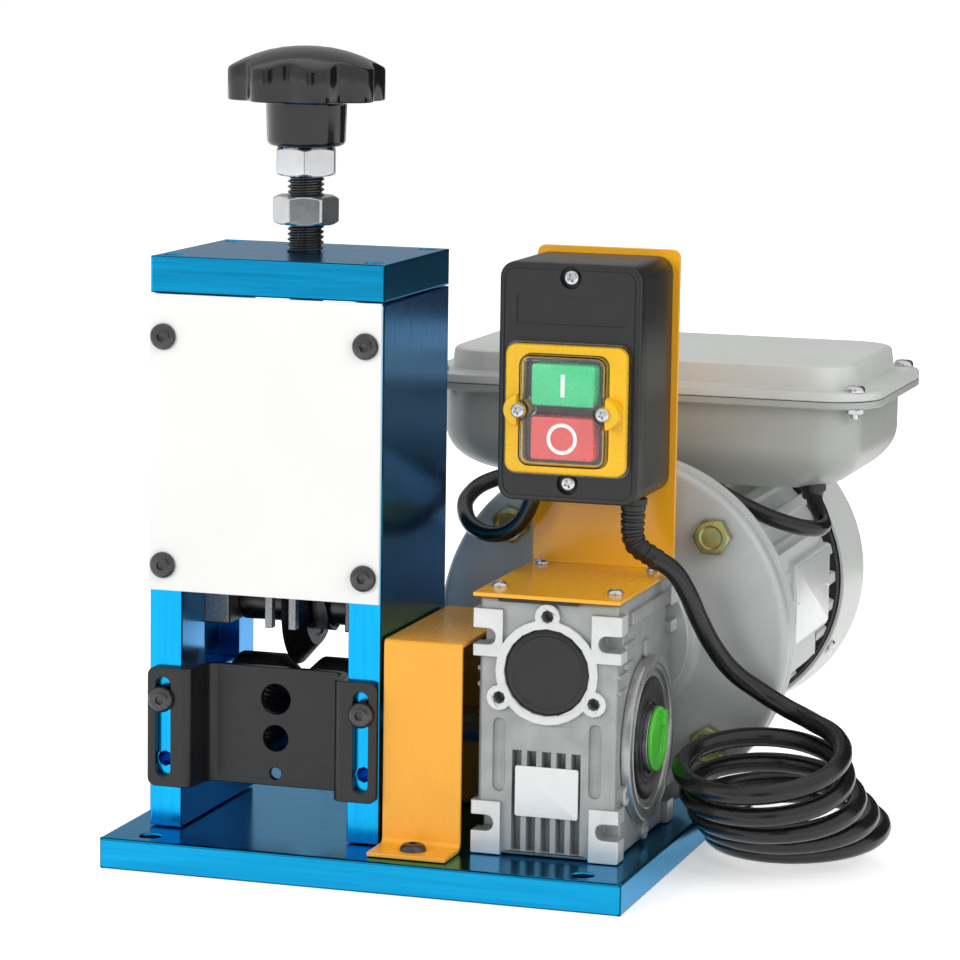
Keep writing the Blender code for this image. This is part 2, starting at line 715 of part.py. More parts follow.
def make_side_plate(name, side):
    """One upright plate with the groove that guides the carriage, the bearing seat and the screw holes."""
    inner = MECHANISM_X + side * (TOWER_WIDTH / 2 - SIDE_THICKNESS)
    outer = MECHANISM_X + side * TOWER_WIDTH / 2
    low = (min(inner, outer), TOWER_FRONT_Y, SEAT_Z)
    high = (max(inner, outer), TOWER_BACK_Y, SIDE_TOP_Z)
    groove = prism(
        rectangle(GROOVE_WIDTH / 2, (SIDE_TOP_Z + OVERRUN - GROOVE_BOTTOM_Z) / 2,
                  (MECHANISM_Y, (SIDE_TOP_Z + OVERRUN + GROOVE_BOTTOM_Z) / 2)),
        *sorted((inner - side * OVERRUN, inner + side * GROOVE_DEPTH)), "X",
    )
    axis = (MECHANISM_Y, FEED_AXIS_Z)
    seat_depth = FEED_BEARING_WIDTH + GAP
    if side < 0:
        seat = sorted((inner - side * OVERRUN, inner + side * seat_depth))
        cuts = [rod(FEED_BEARING_RADIUS + GAP, axis, *seat, "X", ROUND)]
    else:
        seat = sorted((outer + side * OVERRUN, outer - side * seat_depth))
        through = sorted((inner - side * OVERRUN, outer + side * OVERRUN))
        cuts = [
            rod(FEED_BEARING_RADIUS + GAP, axis, *seat, "X", ROUND),
            rod(FEED_SHOULDER_RADIUS, axis, *through, "X", ROUND),
        ]
    hole_depth = SCREW_SHANK_LENGTH + OVERRUN
    hole_x = MECHANISM_X + side * SCREW_HOLE_X
    holes = [COVER_SCREW_LOW_Z, COVER_SCREW_TOP_Z, GUIDE_SCREW_Z, GUIDE_SPARE_HOLE_Z]
    for height in holes:
        start = TOWER_FRONT_Y - OVERRUN
        end = TOWER_FRONT_Y + hole_depth
        cuts.append(rod(SCREW_SHANK_RADIUS + GAP, (hole_x, height), start, end, "Y", HOLE_ROUND))
    piece(name, "blue_anodised", block(low, high, TOWER_EDGE), cut=[groove] + cuts)


def make_top_plate():
    low = (TOWER_LEFT_X, TOWER_FRONT_Y, SIDE_TOP_Z + GAP)
    high = (TOWER_RIGHT_X, TOWER_BACK_Y, TOWER_TOP_Z)
    bore = rod(
        SCREW_RADIUS + SCREW_CLEARANCE, (MECHANISM_X, MECHANISM_Y),
        low[2] - OVERRUN, high[2] + OVERRUN, "Z", ROUND,
    )
    sinks = []
    for side in (-1, 1):
        for end in (-1, 1):
            x = MECHANISM_X + side * (TOWER_WIDTH / 2 - SIDE_THICKNESS / 2)
            y = TOWER_CENTRE_Y + end * (TOWER_DEPTH / 2 - TOP_SCREW_FRONT_INSET)
            sinks.append(rod(TOP_SCREW_RADIUS, (x, y), high[2] - TOP_SCREW_SINK, high[2] + OVERRUN, "Z"))
    piece("top_plate", "blue_anodised", block(low, high, TOWER_EDGE), cut=[bore] + sinks)


def button_screw(name, x, z, face_y):
    """A button-head screw with a hexagon socket, its head on a face that looks forwards."""
    back = TOWER_FRONT_Y + SCREW_SHANK_LENGTH
    front = face_y - BUTTON_HEAD_HEIGHT
    shoulder = BUTTON_HEAD_HEIGHT / 3
    profile = (
        (back, 0),
        (back, SCREW_SHANK_RADIUS),
        (face_y, SCREW_SHANK_RADIUS),
        (face_y, BUTTON_HEAD_RADIUS),
        (front + 2 * shoulder, BUTTON_HEAD_RADIUS),
        (front + shoulder / 2, BUTTON_HEAD_RADIUS * math.cos(math.pi / 4)),
        (front, BUTTON_HEAD_RADIUS / 2),
        (front, 0),
    )
    socket = prism(
        hexagon(BUTTON_SOCKET_ACROSS, (x, z)), front - OVERRUN, front + BUTTON_SOCKET_DEPTH, "Y"
    )
    shape = turned(profile, (x, z), "Y", SMALL_ROUND)
    piece(name, "black_oxide", shape, cut=[socket], origin=(x, face_y, z))


def make_front_cover():
    back = TOWER_FRONT_Y - GAP
    front = back - COVER_PLATE_THICKNESS
    half = TOWER_WIDTH / 2 - COVER_PLATE_SIDE_INSET
    low = (MECHANISM_X - half, front, COVER_PLATE_BOTTOM_Z)
    high = (MECHANISM_X + half, back, COVER_PLATE_TOP_Z)
    places = []
    for z in (COVER_SCREW_TOP_Z, COVER_SCREW_LOW_Z):
        for side in (-1, 1):
            places.append((MECHANISM_X + side * SCREW_HOLE_X, z))
    holes = [
        rod(SCREW_SHANK_RADIUS + GAP, place, front - OVERRUN, back + OVERRUN, "Y", HOLE_ROUND)
        for place in places
    ]
    piece("front_cover_plate", "white_sheet", block(low, high), cut=holes)
    for number, (x, z) in enumerate(places, 1):
        button_screw(f"cover_screw_{number}", x, z, front - GAP)


def make_guide_plate():
    """The bent plate with three wire holes, which slides on two slots."""
    front = TOWER_FRONT_Y - GAP - GUIDE_THICKNESS
    half = TOWER_WIDTH / 2 - COVER_PLATE_SIDE_INSET
    path = [
        (MECHANISM_X + half, front),
        (MECHANISM_X + GUIDE_STEP_TOP_HALF, front),
        (MECHANISM_X + GUIDE_STEP_LOW_HALF, front + GUIDE_STEP_DEPTH),
        (MECHANISM_X - GUIDE_STEP_LOW_HALF, front + GUIDE_STEP_DEPTH),
        (MECHANISM_X - GUIDE_STEP_TOP_HALF, front),
        (MECHANISM_X - half, front),
    ]
    outline = sheet_outline(filleted(path, GUIDE_BEND_RADIUS, closed=False), GUIDE_THICKNESS)
    shape = prism(outline, GUIDE_BOTTOM_Z, GUIDE_BOTTOM_Z + GUIDE_HEIGHT, "Z")
    start = front - OVERRUN
    end = front + GUIDE_STEP_DEPTH + GUIDE_THICKNESS + OVERRUN
    cuts = [rod(radius, (MECHANISM_X, z), start, end, "Y", ROUND) for radius, z in GUIDE_WIRE_HOLES]
    for side in (-1, 1):
        x = MECHANISM_X + side * GUIDE_SLOT_OFFSET
        outline = slot(GUIDE_SLOT_WIDTH, x, GUIDE_SLOT_LOW_Z, GUIDE_SLOT_TOP_Z)
        cuts.append(prism(outline, start, front + GUIDE_THICKNESS + OVERRUN, "Y"))
    origin = (MECHANISM_X, front, GUIDE_SCREW_Z)
    piece("guide_plate", "black_paint", shape, cut=cuts, origin=origin)
    for name, side in (("guide_screw_left", -1), ("guide_screw_right", 1)):
        button_screw(name, MECHANISM_X + side * SCREW_HOLE_X, GUIDE_SCREW_Z, front - GAP)


def make_coupling_cover():
    """The bent sheet over the coupling gap, open at both sides, with a foot at the front and the back."""
    foot_z = SEAT_Z + SHEET_THICKNESS
    path = [
        (COUPLING_COVER_FRONT_Y - COUPLING_COVER_FOOT, foot_z),
        (COUPLING_COVER_FRONT_Y, foot_z),
        (COUPLING_COVER_FRONT_Y, COUPLING_COVER_TOP_Z),
        (COUPLING_COVER_BACK_Y, COUPLING_COVER_TOP_Z),
        (COUPLING_COVER_BACK_Y, foot_z),
        (COUPLING_COVER_BACK_Y + COUPLING_COVER_FOOT, foot_z),
    ]
    outline = sheet_outline(filleted(path, COUPLING_COVER_BEND, closed=False), SHEET_THICKNESS)
    right = COUPLING_COVER_LEFT_X + COUPLING_COVER_WIDTH
    shape = prism(outline, COUPLING_COVER_LEFT_X, right, "X")
    hole_x = (COUPLING_COVER_LEFT_X + right) / 2
    holes = []
    for y in (
        COUPLING_COVER_FRONT_Y - COUPLING_COVER_FOOT / 2,
        COUPLING_COVER_BACK_Y + COUPLING_COVER_FOOT / 2,
    ):
        holes.append(rod(FOOT_SCREW_HOLE_RADIUS, (hole_x, y), SEAT_Z - OVERRUN, foot_z + OVERRUN, "Z"))
    piece("coupling_cover", "orange_paint", shape, cut=holes)


# The blade carriage and its screw


def make_carriage():
    """The cross head, its two blocks and the fork, which slide together in the tower's grooves."""
    carriage = pivot("carriage_axis", (MECHANISM_X, MECHANISM_Y, BLADE_AXIS_Z))
    axis = (MECHANISM_Y, BLADE_AXIS_Z)
    far = TOWER_WIDTH / 2 - SIDE_THICKNESS + GROOVE_DEPTH - GAP
    near = far - BLOCK_LENGTH
    half_depth = BLOCK_DEPTH / 2
    for name, side in (("left_bearing_block", -1), ("right_bearing_block", 1)):
        ends = sorted((MECHANISM_X + side * near, MECHANISM_X + side * far))
        low = (ends[0], MECHANISM_Y - half_depth, BLOCK_BOTTOM_Z)
        high = (ends[1], MECHANISM_Y + half_depth, BLOCK_TOP_Z)
        seat = sorted((
            MECHANISM_X + side * (near - OVERRUN),
            MECHANISM_X + side * (near + JOURNAL_LENGTH + GAP),
        ))
        bore = rod(JOURNAL_RADIUS + GAP, axis, *seat, "X", ROUND)
        piece(
            name, "block_grey", block(low, high, BLOCK_EDGE), cut=[bore],
            origin=(MECHANISM_X, MECHANISM_Y, BLADE_AXIS_Z), parent=carriage,
        )
    low = (MECHANISM_X - near + GAP, MECHANISM_Y - half_depth, CROSSHEAD_BOTTOM_Z)
    high = (MECHANISM_X + near - GAP, MECHANISM_Y + half_depth, BLOCK_TOP_Z)
    pocket = rod(
        SCREW_RADIUS + SCREW_CLEARANCE, (MECHANISM_X, MECHANISM_Y), SCREW_BOTTOM_Z - GAP,
        BLOCK_TOP_Z + OVERRUN, "Z", ROUND,
    )
    piece(
        "crosshead", "block_grey", block(low, high, BLOCK_EDGE), cut=[pocket],
        origin=(MECHANISM_X, MECHANISM_Y, BLADE_AXIS_Z), parent=carriage,
    )
    fork_back = MECHANISM_Y - half_depth - GAP
    side_view = [
        (FORK_FRONT_Y, FORK_BOTTOM_Z),
        (FORK_FRONT_Y + FORK_THICKNESS, FORK_BOTTOM_Z),
        (FORK_FRONT_Y + FORK_THICKNESS, CROSSHEAD_BOTTOM_Z),
        (fork_back, CROSSHEAD_BOTTOM_Z),
        (fork_back, BLOCK_TOP_Z),
        (FORK_FRONT_Y, BLOCK_TOP_Z),
    ]
    shape = prism(side_view, MECHANISM_X - FORK_HALF_OUTER, MECHANISM_X + FORK_HALF_OUTER, "X")
    gap = block(
        (MECHANISM_X - FORK_HALF_SLOT, FORK_FRONT_Y - OVERRUN, FORK_BOTTOM_Z - OVERRUN),
        (MECHANISM_X + FORK_HALF_SLOT, fork_back + OVERRUN, FORK_SLOT_TOP_Z),
    )
    piece(
        "scraper_fork", "tool_steel", shape, cut=[gap],
        origin=(MECHANISM_X, MECHANISM_Y, BLADE_AXIS_Z), parent=carriage,
    )
    make_blade(carriage, axis, near)
    make_screw(carriage)


def make_blade(carriage, axis, half_span):
    """The round blade on its shaft, which turns in the two blocks."""
    origin = (MECHANISM_X, MECHANISM_Y, BLADE_AXIS_Z)
    turning = pivot("blade_axis", origin, carriage)
    left = MECHANISM_X - half_span
    right = MECHANISM_X + half_span
    profile = (
        (left - JOURNAL_LENGTH, 0),
        (left - JOURNAL_LENGTH, JOURNAL_RADIUS),
        (left + GAP, JOURNAL_RADIUS),
        (left + GAP, UPPER_SHAFT_RADIUS),
        (right - GAP, UPPER_SHAFT_RADIUS),
        (right - GAP, JOURNAL_RADIUS),
        (right + JOURNAL_LENGTH, JOURNAL_RADIUS),
        (right + JOURNAL_LENGTH, 0),
    )
    piece("upper_shaft", "tool_steel", turned(profile, axis, "X"), origin=origin, parent=turning)
    bore = UPPER_SHAFT_RADIUS + GAP
    profile = (
        (MECHANISM_X - CUTTER_LEFT_DEPTH, bore),
        (MECHANISM_X - CUTTER_LEFT_DEPTH, CUTTER_LEFT_RADIUS),
        (MECHANISM_X, CUTTER_RADIUS),
        (MECHANISM_X + CUTTER_EDGE_WIDTH, CUTTER_RADIUS),
        (MECHANISM_X + CUTTER_RIGHT_DEPTH, CUTTER_RIGHT_RADIUS),
        (MECHANISM_X + CUTTER_RIGHT_DEPTH, bore),
    )
    piece(
        "cutter_blade", "tool_steel", turned(profile, axis, "X", FINE_ROUND), origin=origin, parent=turning
    )
    start = MECHANISM_X + CUTTER_RIGHT_DEPTH + GAP
    hex_nut(
        "blade_nut", "tool_steel", BLADE_NUT_ACROSS, bore, axis, start, BLADE_NUT_THICKNESS, "X",
        origin, turning,
    )


def hex_nut(name, finish, across, bore, centre, start, thickness, axis, origin, parent, turn=0.0):
    """A hexagon nut whose corners a cone has taken off at both ends."""
    end = start + thickness
    corner = across / math.sqrt(3)
    face = across / 2
    cone = (
        (start, 0),
        (start, face),
        (start + NUT_CHAMFER, corner + NUT_CHAMFER),
        (end - NUT_CHAMFER, corner + NUT_CHAMFER),
        (end, face),
        (end, 0),
    )
    shape = prism(hexagon(across, centre, turn), start, end, axis)
    hole = rod(bore, centre, start - OVERRUN, end + OVERRUN, axis, ROUND)
    nut = piece(name, finish, shape, origin=origin, parent=parent)
    combine(nut, "INTERSECT", turned(cone, centre, axis), origin)
    combine(nut, "DIFFERENCE", hole, origin)


def make_screw(carriage):
    """The adjusting screw with its star knob and nuts, which turns and climbs with the carriage."""
    centre = (MECHANISM_X, MECHANISM_Y)
    origin = (*centre, BLOCK_TOP_Z)
    turning = pivot("knob_axis", origin, carriage)
    tip = SCREW_RADIUS - SCREW_TIP_CHAMFER
    profile = (
        (SCREW_BOTTOM_Z, 0),
        (SCREW_BOTTOM_Z, tip),
        (SCREW_BOTTOM_Z + SCREW_TIP_CHAMFER, SCREW_RADIUS),
        (SCREW_TOP_Z - SCREW_TIP_CHAMFER, SCREW_RADIUS),
        (SCREW_TOP_Z, tip),
        (SCREW_TOP_Z, 0),
    )
    piece("adjusting_screw", "black_oxide", turned(profile, centre, "Z"), origin=origin, parent=turning)
    bore = SCREW_RADIUS + SCREW_CLEARANCE
    hex_nut(
        "knob_jam_nut", "bright_zinc", NUT_ACROSS, bore, centre, JAM_NUT_TOP_Z - NUT_THICKNESS,
        NUT_THICKNESS, "Z", origin, turning, turn=-math.pi / 2,
    )
    hex_nut(
        "lock_nut", "bright_zinc", NUT_ACROSS, bore, centre, LOCK_NUT_BOTTOM_Z, NUT_THICKNESS, "Z",
        origin, turning, turn=-math.pi / 3,
    )
    make_knob(centre, bore, origin, turning)


def make_knob(centre, bore, origin, turning):
    """A star knob: a round hub that opens into a lobed skirt under a shallow dome."""
    rise = KNOB_TOP_Z - KNOB_SKIRT_Z
    rim_shares = (
        (0.00, 0.95, 1.00),
        (0.08, 1.00, 1.00),
        (0.55, 1.00, 1.00),
        (0.72, 0.96, 0.90),
        (0.86, 0.82, 0.70),
        (0.96, 0.52, 0.40),
        (1.00, 0.20, 0.15),
    )
    rings = [
        (KNOB_HUB_BOTTOM_Z, KNOB_HUB_RADIUS - KNOB_HUB_EDGE, 0),
        (KNOB_HUB_BOTTOM_Z + KNOB_HUB_EDGE, KNOB_HUB_RADIUS, 0),
        (KNOB_SKIRT_Z, KNOB_HUB_RADIUS, 0),
    ]
    mean = KNOB_RADIUS - KNOB_LOBE_DEPTH / 2
    for height, size, lobes in rim_shares:
        rings.append((KNOB_SKIRT_Z + rise * height, mean * size, KNOB_LOBE_DEPTH / 2 * lobes))
    sections = []
    count = KNOB_LOBES * KNOB_LOBE_POINTS
    for z, radius, swing in rings:
        section = []
        for i in range(count):
            angle = math.tau * i / count
            reach = radius + swing * math.cos(KNOB_LOBES * (angle - math.radians(KNOB_LOBE_TURN_DEG)))
            section.append((centre[0] + reach * math.cos(angle), centre[1] + reach * math.sin(angle), z))
        sections.append(section)
    hole = rod(bore, centre, KNOB_HUB_BOTTOM_Z - OVERRUN, SCREW_TOP_Z + GAP, "Z", ROUND)
    piece("star_knob", "knob_plastic", lofted(sections), cut=[hole], origin=origin, parent=turning)


# The feed drive


def make_feed():
    """The grooved roller on its shaft, which runs through both side plates into the gearbox."""
    axis = (MECHANISM_Y, FEED_AXIS_Z)
    origin = (MECHANISM_X, *axis)
    turning = pivot("feed_axis", origin)
    bearing_far = TOWER_WIDTH / 2 - SIDE_THICKNESS + FEED_BEARING_WIDTH
    start = MECHANISM_X - bearing_far + GAP
    end = HOLLOW_END_X - BORE_PLUG_DEPTH - GAP
    tip = SHAFT_RADIUS - SCREW_TIP_CHAMFER
    profile = (
        (start, 0),
        (start, tip),
        (start + SCREW_TIP_CHAMFER, SHAFT_RADIUS),
        (end - SCREW_TIP_CHAMFER, SHAFT_RADIUS),
        (end, tip),
        (end, 0),
    )
    piece("feed_shaft", "tool_steel", turned(profile, axis, "X"), origin=origin, parent=turning)
    left = MECHANISM_X - FEED_ROLLER_HALF_WIDTH
    right = MECHANISM_X + FEED_ROLLER_HALF_WIDTH
    edge = FEED_ROLLER_RADIUS - FEED_ROLLER_CHAMFER
    profile = (
        (left, OUTPUT_BORE_RADIUS),
        (left, edge),
        (left + FEED_ROLLER_CHAMFER, FEED_ROLLER_RADIUS),
        (MECHANISM_X - FEED_GROOVE_HALF_WIDTH, FEED_ROLLER_RADIUS),
        (MECHANISM_X, FEED_ROLLER_RADIUS - FEED_GROOVE_DEPTH),
        (MECHANISM_X + FEED_GROOVE_HALF_WIDTH, FEED_ROLLER_RADIUS),
        (right - FEED_ROLLER_CHAMFER, FEED_ROLLER_RADIUS),
        (right, edge),
        (right, OUTPUT_BORE_RADIUS),
    )
    piece(
        "feed_roller", "tool_steel", turned(profile, axis, "X", FINE_ROUND), origin=origin, parent=turning
    )
    edge = FEED_BEARING_CHAMFER
    for name, first in (
        ("feed_bearing_left", INNER_LEFT_X - FEED_BEARING_WIDTH),
        ("feed_bearing_right", TOWER_RIGHT_X - FEED_BEARING_WIDTH),
    ):
        last = first + FEED_BEARING_WIDTH
        profile = (
            (first, OUTPUT_BORE_RADIUS),
            (first, FEED_BEARING_RADIUS - edge),
            (first + edge, FEED_BEARING_RADIUS),
            (last - edge, FEED_BEARING_RADIUS),
            (last, FEED_BEARING_RADIUS - edge),
            (last, OUTPUT_BORE_RADIUS),
        )
        piece(name, "tool_steel", turned(profile, axis, "X"))
    make_output(axis, origin, turning)


def make_output(axis, origin, turning):
    """The hollow output shaft, its worm wheel and the plug that closes its bore."""
    bore = rod(
        OUTPUT_BORE_RADIUS, axis, HOLLOW_START_X - OVERRUN, HOLLOW_END_X + OVERRUN, "X", ROUND
    )
    shape = rod(HOLLOW_SHAFT_RADIUS, axis, HOLLOW_START_X, HOLLOW_END_X, "X", ROUND)
    piece("hollow_output_shaft", "tool_steel", shape, cut=[bore], origin=origin, parent=turning)
    make_worm_wheel(axis, origin, turning)
    face = HOLLOW_END_X + GAP
    plug = OUTPUT_BORE_RADIUS - GAP
    profile = (
        (HOLLOW_END_X - BORE_PLUG_DEPTH, 0),
        (HOLLOW_END_X - BORE_PLUG_DEPTH, plug),
        (face, plug),
        (face, BORE_PLUG_RADIUS),
        (face + BORE_PLUG_THICKNESS, BORE_PLUG_RADIUS - BORE_PLUG_THICKNESS),
        (face + BORE_PLUG_THICKNESS, 0),
    )
    low = (face + BORE_PLUG_THICKNESS / 2, axis[0] - BORE_PLUG_TAB / 2, axis[1] + BORE_PLUG_RADIUS / 2)
    high = (
        face + BORE_PLUG_THICKNESS + BORE_PLUG_TAB_RISE,
        axis[0] + BORE_PLUG_TAB / 2,
        axis[1] + BORE_PLUG_RADIUS,
    )
    tab = block(low, high)
    piece("bore_plug", "plug_green", turned(profile, axis, "X"), joined=[tab], origin=origin, parent=turning)


def tooth_widths():
    """A rack tooth's width at its tip, its pitch line and its root."""
    middle = TOOTH_PITCH / 2 - TOOTH_BACKLASH / 2
    slope = 2 * math.tan(TOOTH_FLANK_ANGLE)
    return middle - slope * TOOTH_MODULE, middle, middle + slope * TOOTH_MODULE


def make_worm_wheel(axis, origin, turning):
    """Thirty teeth with straight flanks, turned across the rim by the worm's lead angle."""
    tip_width, _, root_width = tooth_widths()
    tip = WHEEL_PITCH_RADIUS + TOOTH_MODULE
    root = WHEEL_PITCH_RADIUS - TOOTH_MODULE * WHEEL_ROOT_SHARE
    twist = -WORM_LEAD / (math.tau * WORM_PITCH_RADIUS) / WHEEL_PITCH_RADIUS
    corners = ((-1, root, root_width), (-1, tip, tip_width), (1, tip, tip_width), (1, root, root_width))
    sections = []
    for x in (-WHEEL_WIDTH / 2, WHEEL_WIDTH / 2):
        section = []
        for tooth in range(WHEEL_TEETH):
            for sign, radius, width in corners:
                angle = math.tau * tooth / WHEEL_TEETH + math.pi / 2
                angle += sign * width / 2 / radius + twist * x
                y = axis[0] + radius * math.cos(angle)
                z = axis[1] + radius * math.sin(angle)
                section.append((GEARBOX_X + x, y, z))
        sections.append(section)
    bore = rod(
        HOLLOW_SHAFT_RADIUS + GAP, axis, GEARBOX_X - WHEEL_WIDTH, GEARBOX_X + WHEEL_WIDTH, "X", ROUND
    )
    piece("worm_wheel", "bronze", lofted(sections), cut=[bore], origin=origin, parent=turning)


def worm_thread(start_number):
    """One of the worm's threads: a tooth section carried along a helix."""
    tip_width, _, root_width = tooth_widths()
    tip = WORM_PITCH_RADIUS + TOOTH_MODULE
    root = WORM_PITCH_RADIUS - TOOTH_MODULE * THREAD_ROOT_SHARE
    turns = WORM_THREAD_LENGTH / WORM_LEAD
    steps = round(turns * THREAD_ROUND)
    corners = ((-1, root, root_width), (-1, tip, tip_width), (1, tip, tip_width), (1, root, root_width))
    sections = []
    for step in range(steps + 1):
        along = -WORM_THREAD_LENGTH / 2 + WORM_THREAD_LENGTH * step / steps
        # A gap between threads faces the wheel's top tooth, straight below the worm's axis
        angle = -math.pi / 2 + math.tau * (along / WORM_LEAD + (start_number + 1 / 2) / WORM_STARTS)
        section = []
        for side, radius, width in corners:
            section.append((
                GEARBOX_X + radius * math.cos(angle),
                MECHANISM_Y + along + side * width / 2,
                WORM_AXIS_Z + radius * math.sin(angle),
            ))
        sections.append(section)
    return lofted(sections)


# The gearbox


def make_gearbox_housing():
    """The cast case: corner pads with open slots, a bored face ring, cooling fins and the wheel's cavity."""
    half = GEARBOX_WIDTH / 2
    wall = half - GEARBOX_RECESS
    front = GEARBOX_FRONT_Y + GEARBOX_RECESS
    back = GEARBOX_BACK_Y - GEARBOX_RECESS
    body = block(
        (GEARBOX_X - wall, front, SEAT_Z), (GEARBOX_X + wall, back, GEARBOX_TOP_Z), GEARBOX_EDGE
    )
    joined = []
    pad_heights = (
        (GEARBOX_TOP_Z - PAD_TOP_INSET - PAD_TOP_HEIGHT, GEARBOX_TOP_Z - PAD_TOP_INSET),
        (SEAT_Z, SEAT_Z + PAD_LOW_HEIGHT),
    )
    for side in (-1, 1):
        outer = GEARBOX_X + side * half
        inner = outer - side * PAD_WIDTH
        for low_z, top_z in pad_heights:
            for face, depth in ((GEARBOX_FRONT_Y, PAD_DEPTH), (GEARBOX_BACK_Y, -PAD_DEPTH)):
                low = (min(inner, outer), min(face, face + depth), low_z)
                high = (max(inner, outer), max(face, face + depth), top_z)
                joined.append(block(low, high))
    face_end = GEARBOX_FRONT_Y + PAD_DEPTH
    worm_axis = (GEARBOX_X, WORM_AXIS_Z)
    joined.append(rod(FACE_RING_RADIUS, worm_axis, GEARBOX_FRONT_Y, face_end, "Y", FINE_ROUND))
    cuts = []
    for angle in (math.pi / 2, -math.pi / 6, math.pi * 7 / 6):
        place = (
            GEARBOX_X + FACE_BOSS_CIRCLE * math.cos(angle),
            WORM_AXIS_Z + FACE_BOSS_CIRCLE * math.sin(angle),
        )
        joined.append(rod(FACE_BOSS_RADIUS, place, GEARBOX_FRONT_Y, face_end, "Y"))
        depth = GEARBOX_FRONT_Y + FACE_BOSS_HOLE_DEPTH
        cuts.append(rod(FACE_BOSS_HOLE, place, GEARBOX_FRONT_Y - OVERRUN, depth, "Y", HOLE_ROUND))
    cuts += fin_gaps() + pad_slots() + side_grooves()
    cap_seat = GEARBOX_FRONT_Y + END_CAP_THICKNESS + GAP + SUNK
    cuts.append(rod(END_CAP_RADIUS + GAP, worm_axis, GEARBOX_FRONT_Y - OVERRUN, cap_seat, "Y", ROUND))
    cuts.append(rod(WORM_BORE_RADIUS, worm_axis, GEARBOX_FRONT_Y, GEARBOX_BACK_Y + OVERRUN, "Y", ROUND))
    axis = (MECHANISM_Y, FEED_AXIS_Z)
    cavity_start = GEARBOX_X - WHEEL_CAVITY_WIDTH / 2
    right = GEARBOX_RIGHT_X + OVERRUN
    cuts.append(rod(WHEEL_CAVITY_RADIUS, axis, cavity_start, right, "X", ROUND))
    cuts.append(rod(HOLLOW_SHAFT_RADIUS + GAP, axis, GEARBOX_LEFT_X - OVERRUN, right, "X", ROUND))
    joined += side_ribs(wall)
    piece("gearbox_housing", "cast_aluminium", body, joined=joined, cut=cuts)


def fin_gaps():
    """The pockets between the four upright fins on the front face."""
    gaps = []
    pitch = (FIN_SPAN - FIN_THICKNESS) / (FRONT_FINS - 1)
    front = GEARBOX_FRONT_Y - OVERRUN
    back = GEARBOX_FRONT_Y + GEARBOX_RECESS + FIN_PANEL_DEPTH
    for gap in range(-1, FRONT_FINS):
        left = GEARBOX_X - FIN_SPAN / 2 + FIN_THICKNESS + gap * pitch
        low = (left, front, SEAT_Z + FIN_FOOT_HEIGHT)
        high = (left + pitch - FIN_THICKNESS, back, FIN_TOP_Z)
        gaps.append(block(low, high))
    return gaps


def pad_slots():
    """Slots that open sideways in each corner pad, round at their inner end."""
    slots = []
    for side in (-1, 1):
        outer = GEARBOX_X + side * GEARBOX_WIDTH / 2
        for z in (PAD_SLOT_TOP_Z, PAD_SLOT_LOW_Z):
            centre = outer - side * (PAD_SLOT_DEPTH - PAD_SLOT_WIDTH / 2)
            outline = []
            for step in range(SMALL_ROUND // 2 + 1):
                angle = math.pi / 2 + math.tau * step / SMALL_ROUND
                outline.append((
                    centre + side * PAD_SLOT_WIDTH / 2 * math.cos(angle),
                    z + PAD_SLOT_WIDTH / 2 * math.sin(angle),
                ))
            reach = outer + side * OVERRUN
            outline += [(reach, z - PAD_SLOT_WIDTH / 2), (reach, z + PAD_SLOT_WIDTH / 2)]
            for face, depth in ((GEARBOX_FRONT_Y, PAD_DEPTH), (GEARBOX_BACK_Y, -PAD_DEPTH)):
                start = face - math.copysign(OVERRUN, depth)
                end = face + depth + math.copysign(SUNK, depth)
                slots.append(prism(outline, *sorted((start, end)), "Y"))
    return slots


def side_grooves():
    """Shallow upright grooves beside the face ring."""
    grooves = []
    for side in (-1, 1):
        x = GEARBOX_X + side * SIDE_GROOVE_OFFSET
        start = GEARBOX_FRONT_Y + GEARBOX_RECESS - OVERRUN / 2
        end = GEARBOX_FRONT_Y + GEARBOX_RECESS + SIDE_GROOVE_DEPTH
        outline = slot(SIDE_GROOVE_WIDTH, x, SIDE_GROOVE_LOW_Z, SIDE_GROOVE_TOP_Z - FACE_RING_RADIUS)
        grooves.append(prism(outline, start, end, "Y"))
    return grooves


def side_ribs(wall):
    """Short level ribs on the right and left walls, behind the upper pads."""
    ribs = []
    pad_low = GEARBOX_TOP_Z - PAD_TOP_INSET - PAD_TOP_HEIGHT
    pitch = PAD_SLOT_WIDTH
    for side in (-1, 1):
        near = GEARBOX_X + side * (wall - SUNK)
        far = GEARBOX_X + side * (wall + GEARBOX_RECESS / 2)
        for number in range(SIDE_RIBS):
            z = pad_low - pitch * (number + 1)
            low = (min(near, far), GEARBOX_FRONT_Y + GEARBOX_RECESS + GEARBOX_EDGE, z)
            high = (max(near, far), low[1] + SIDE_RIB_LENGTH, z + SIDE_RIB_THICKNESS)
            ribs.append(block(low, high))
    return ribs


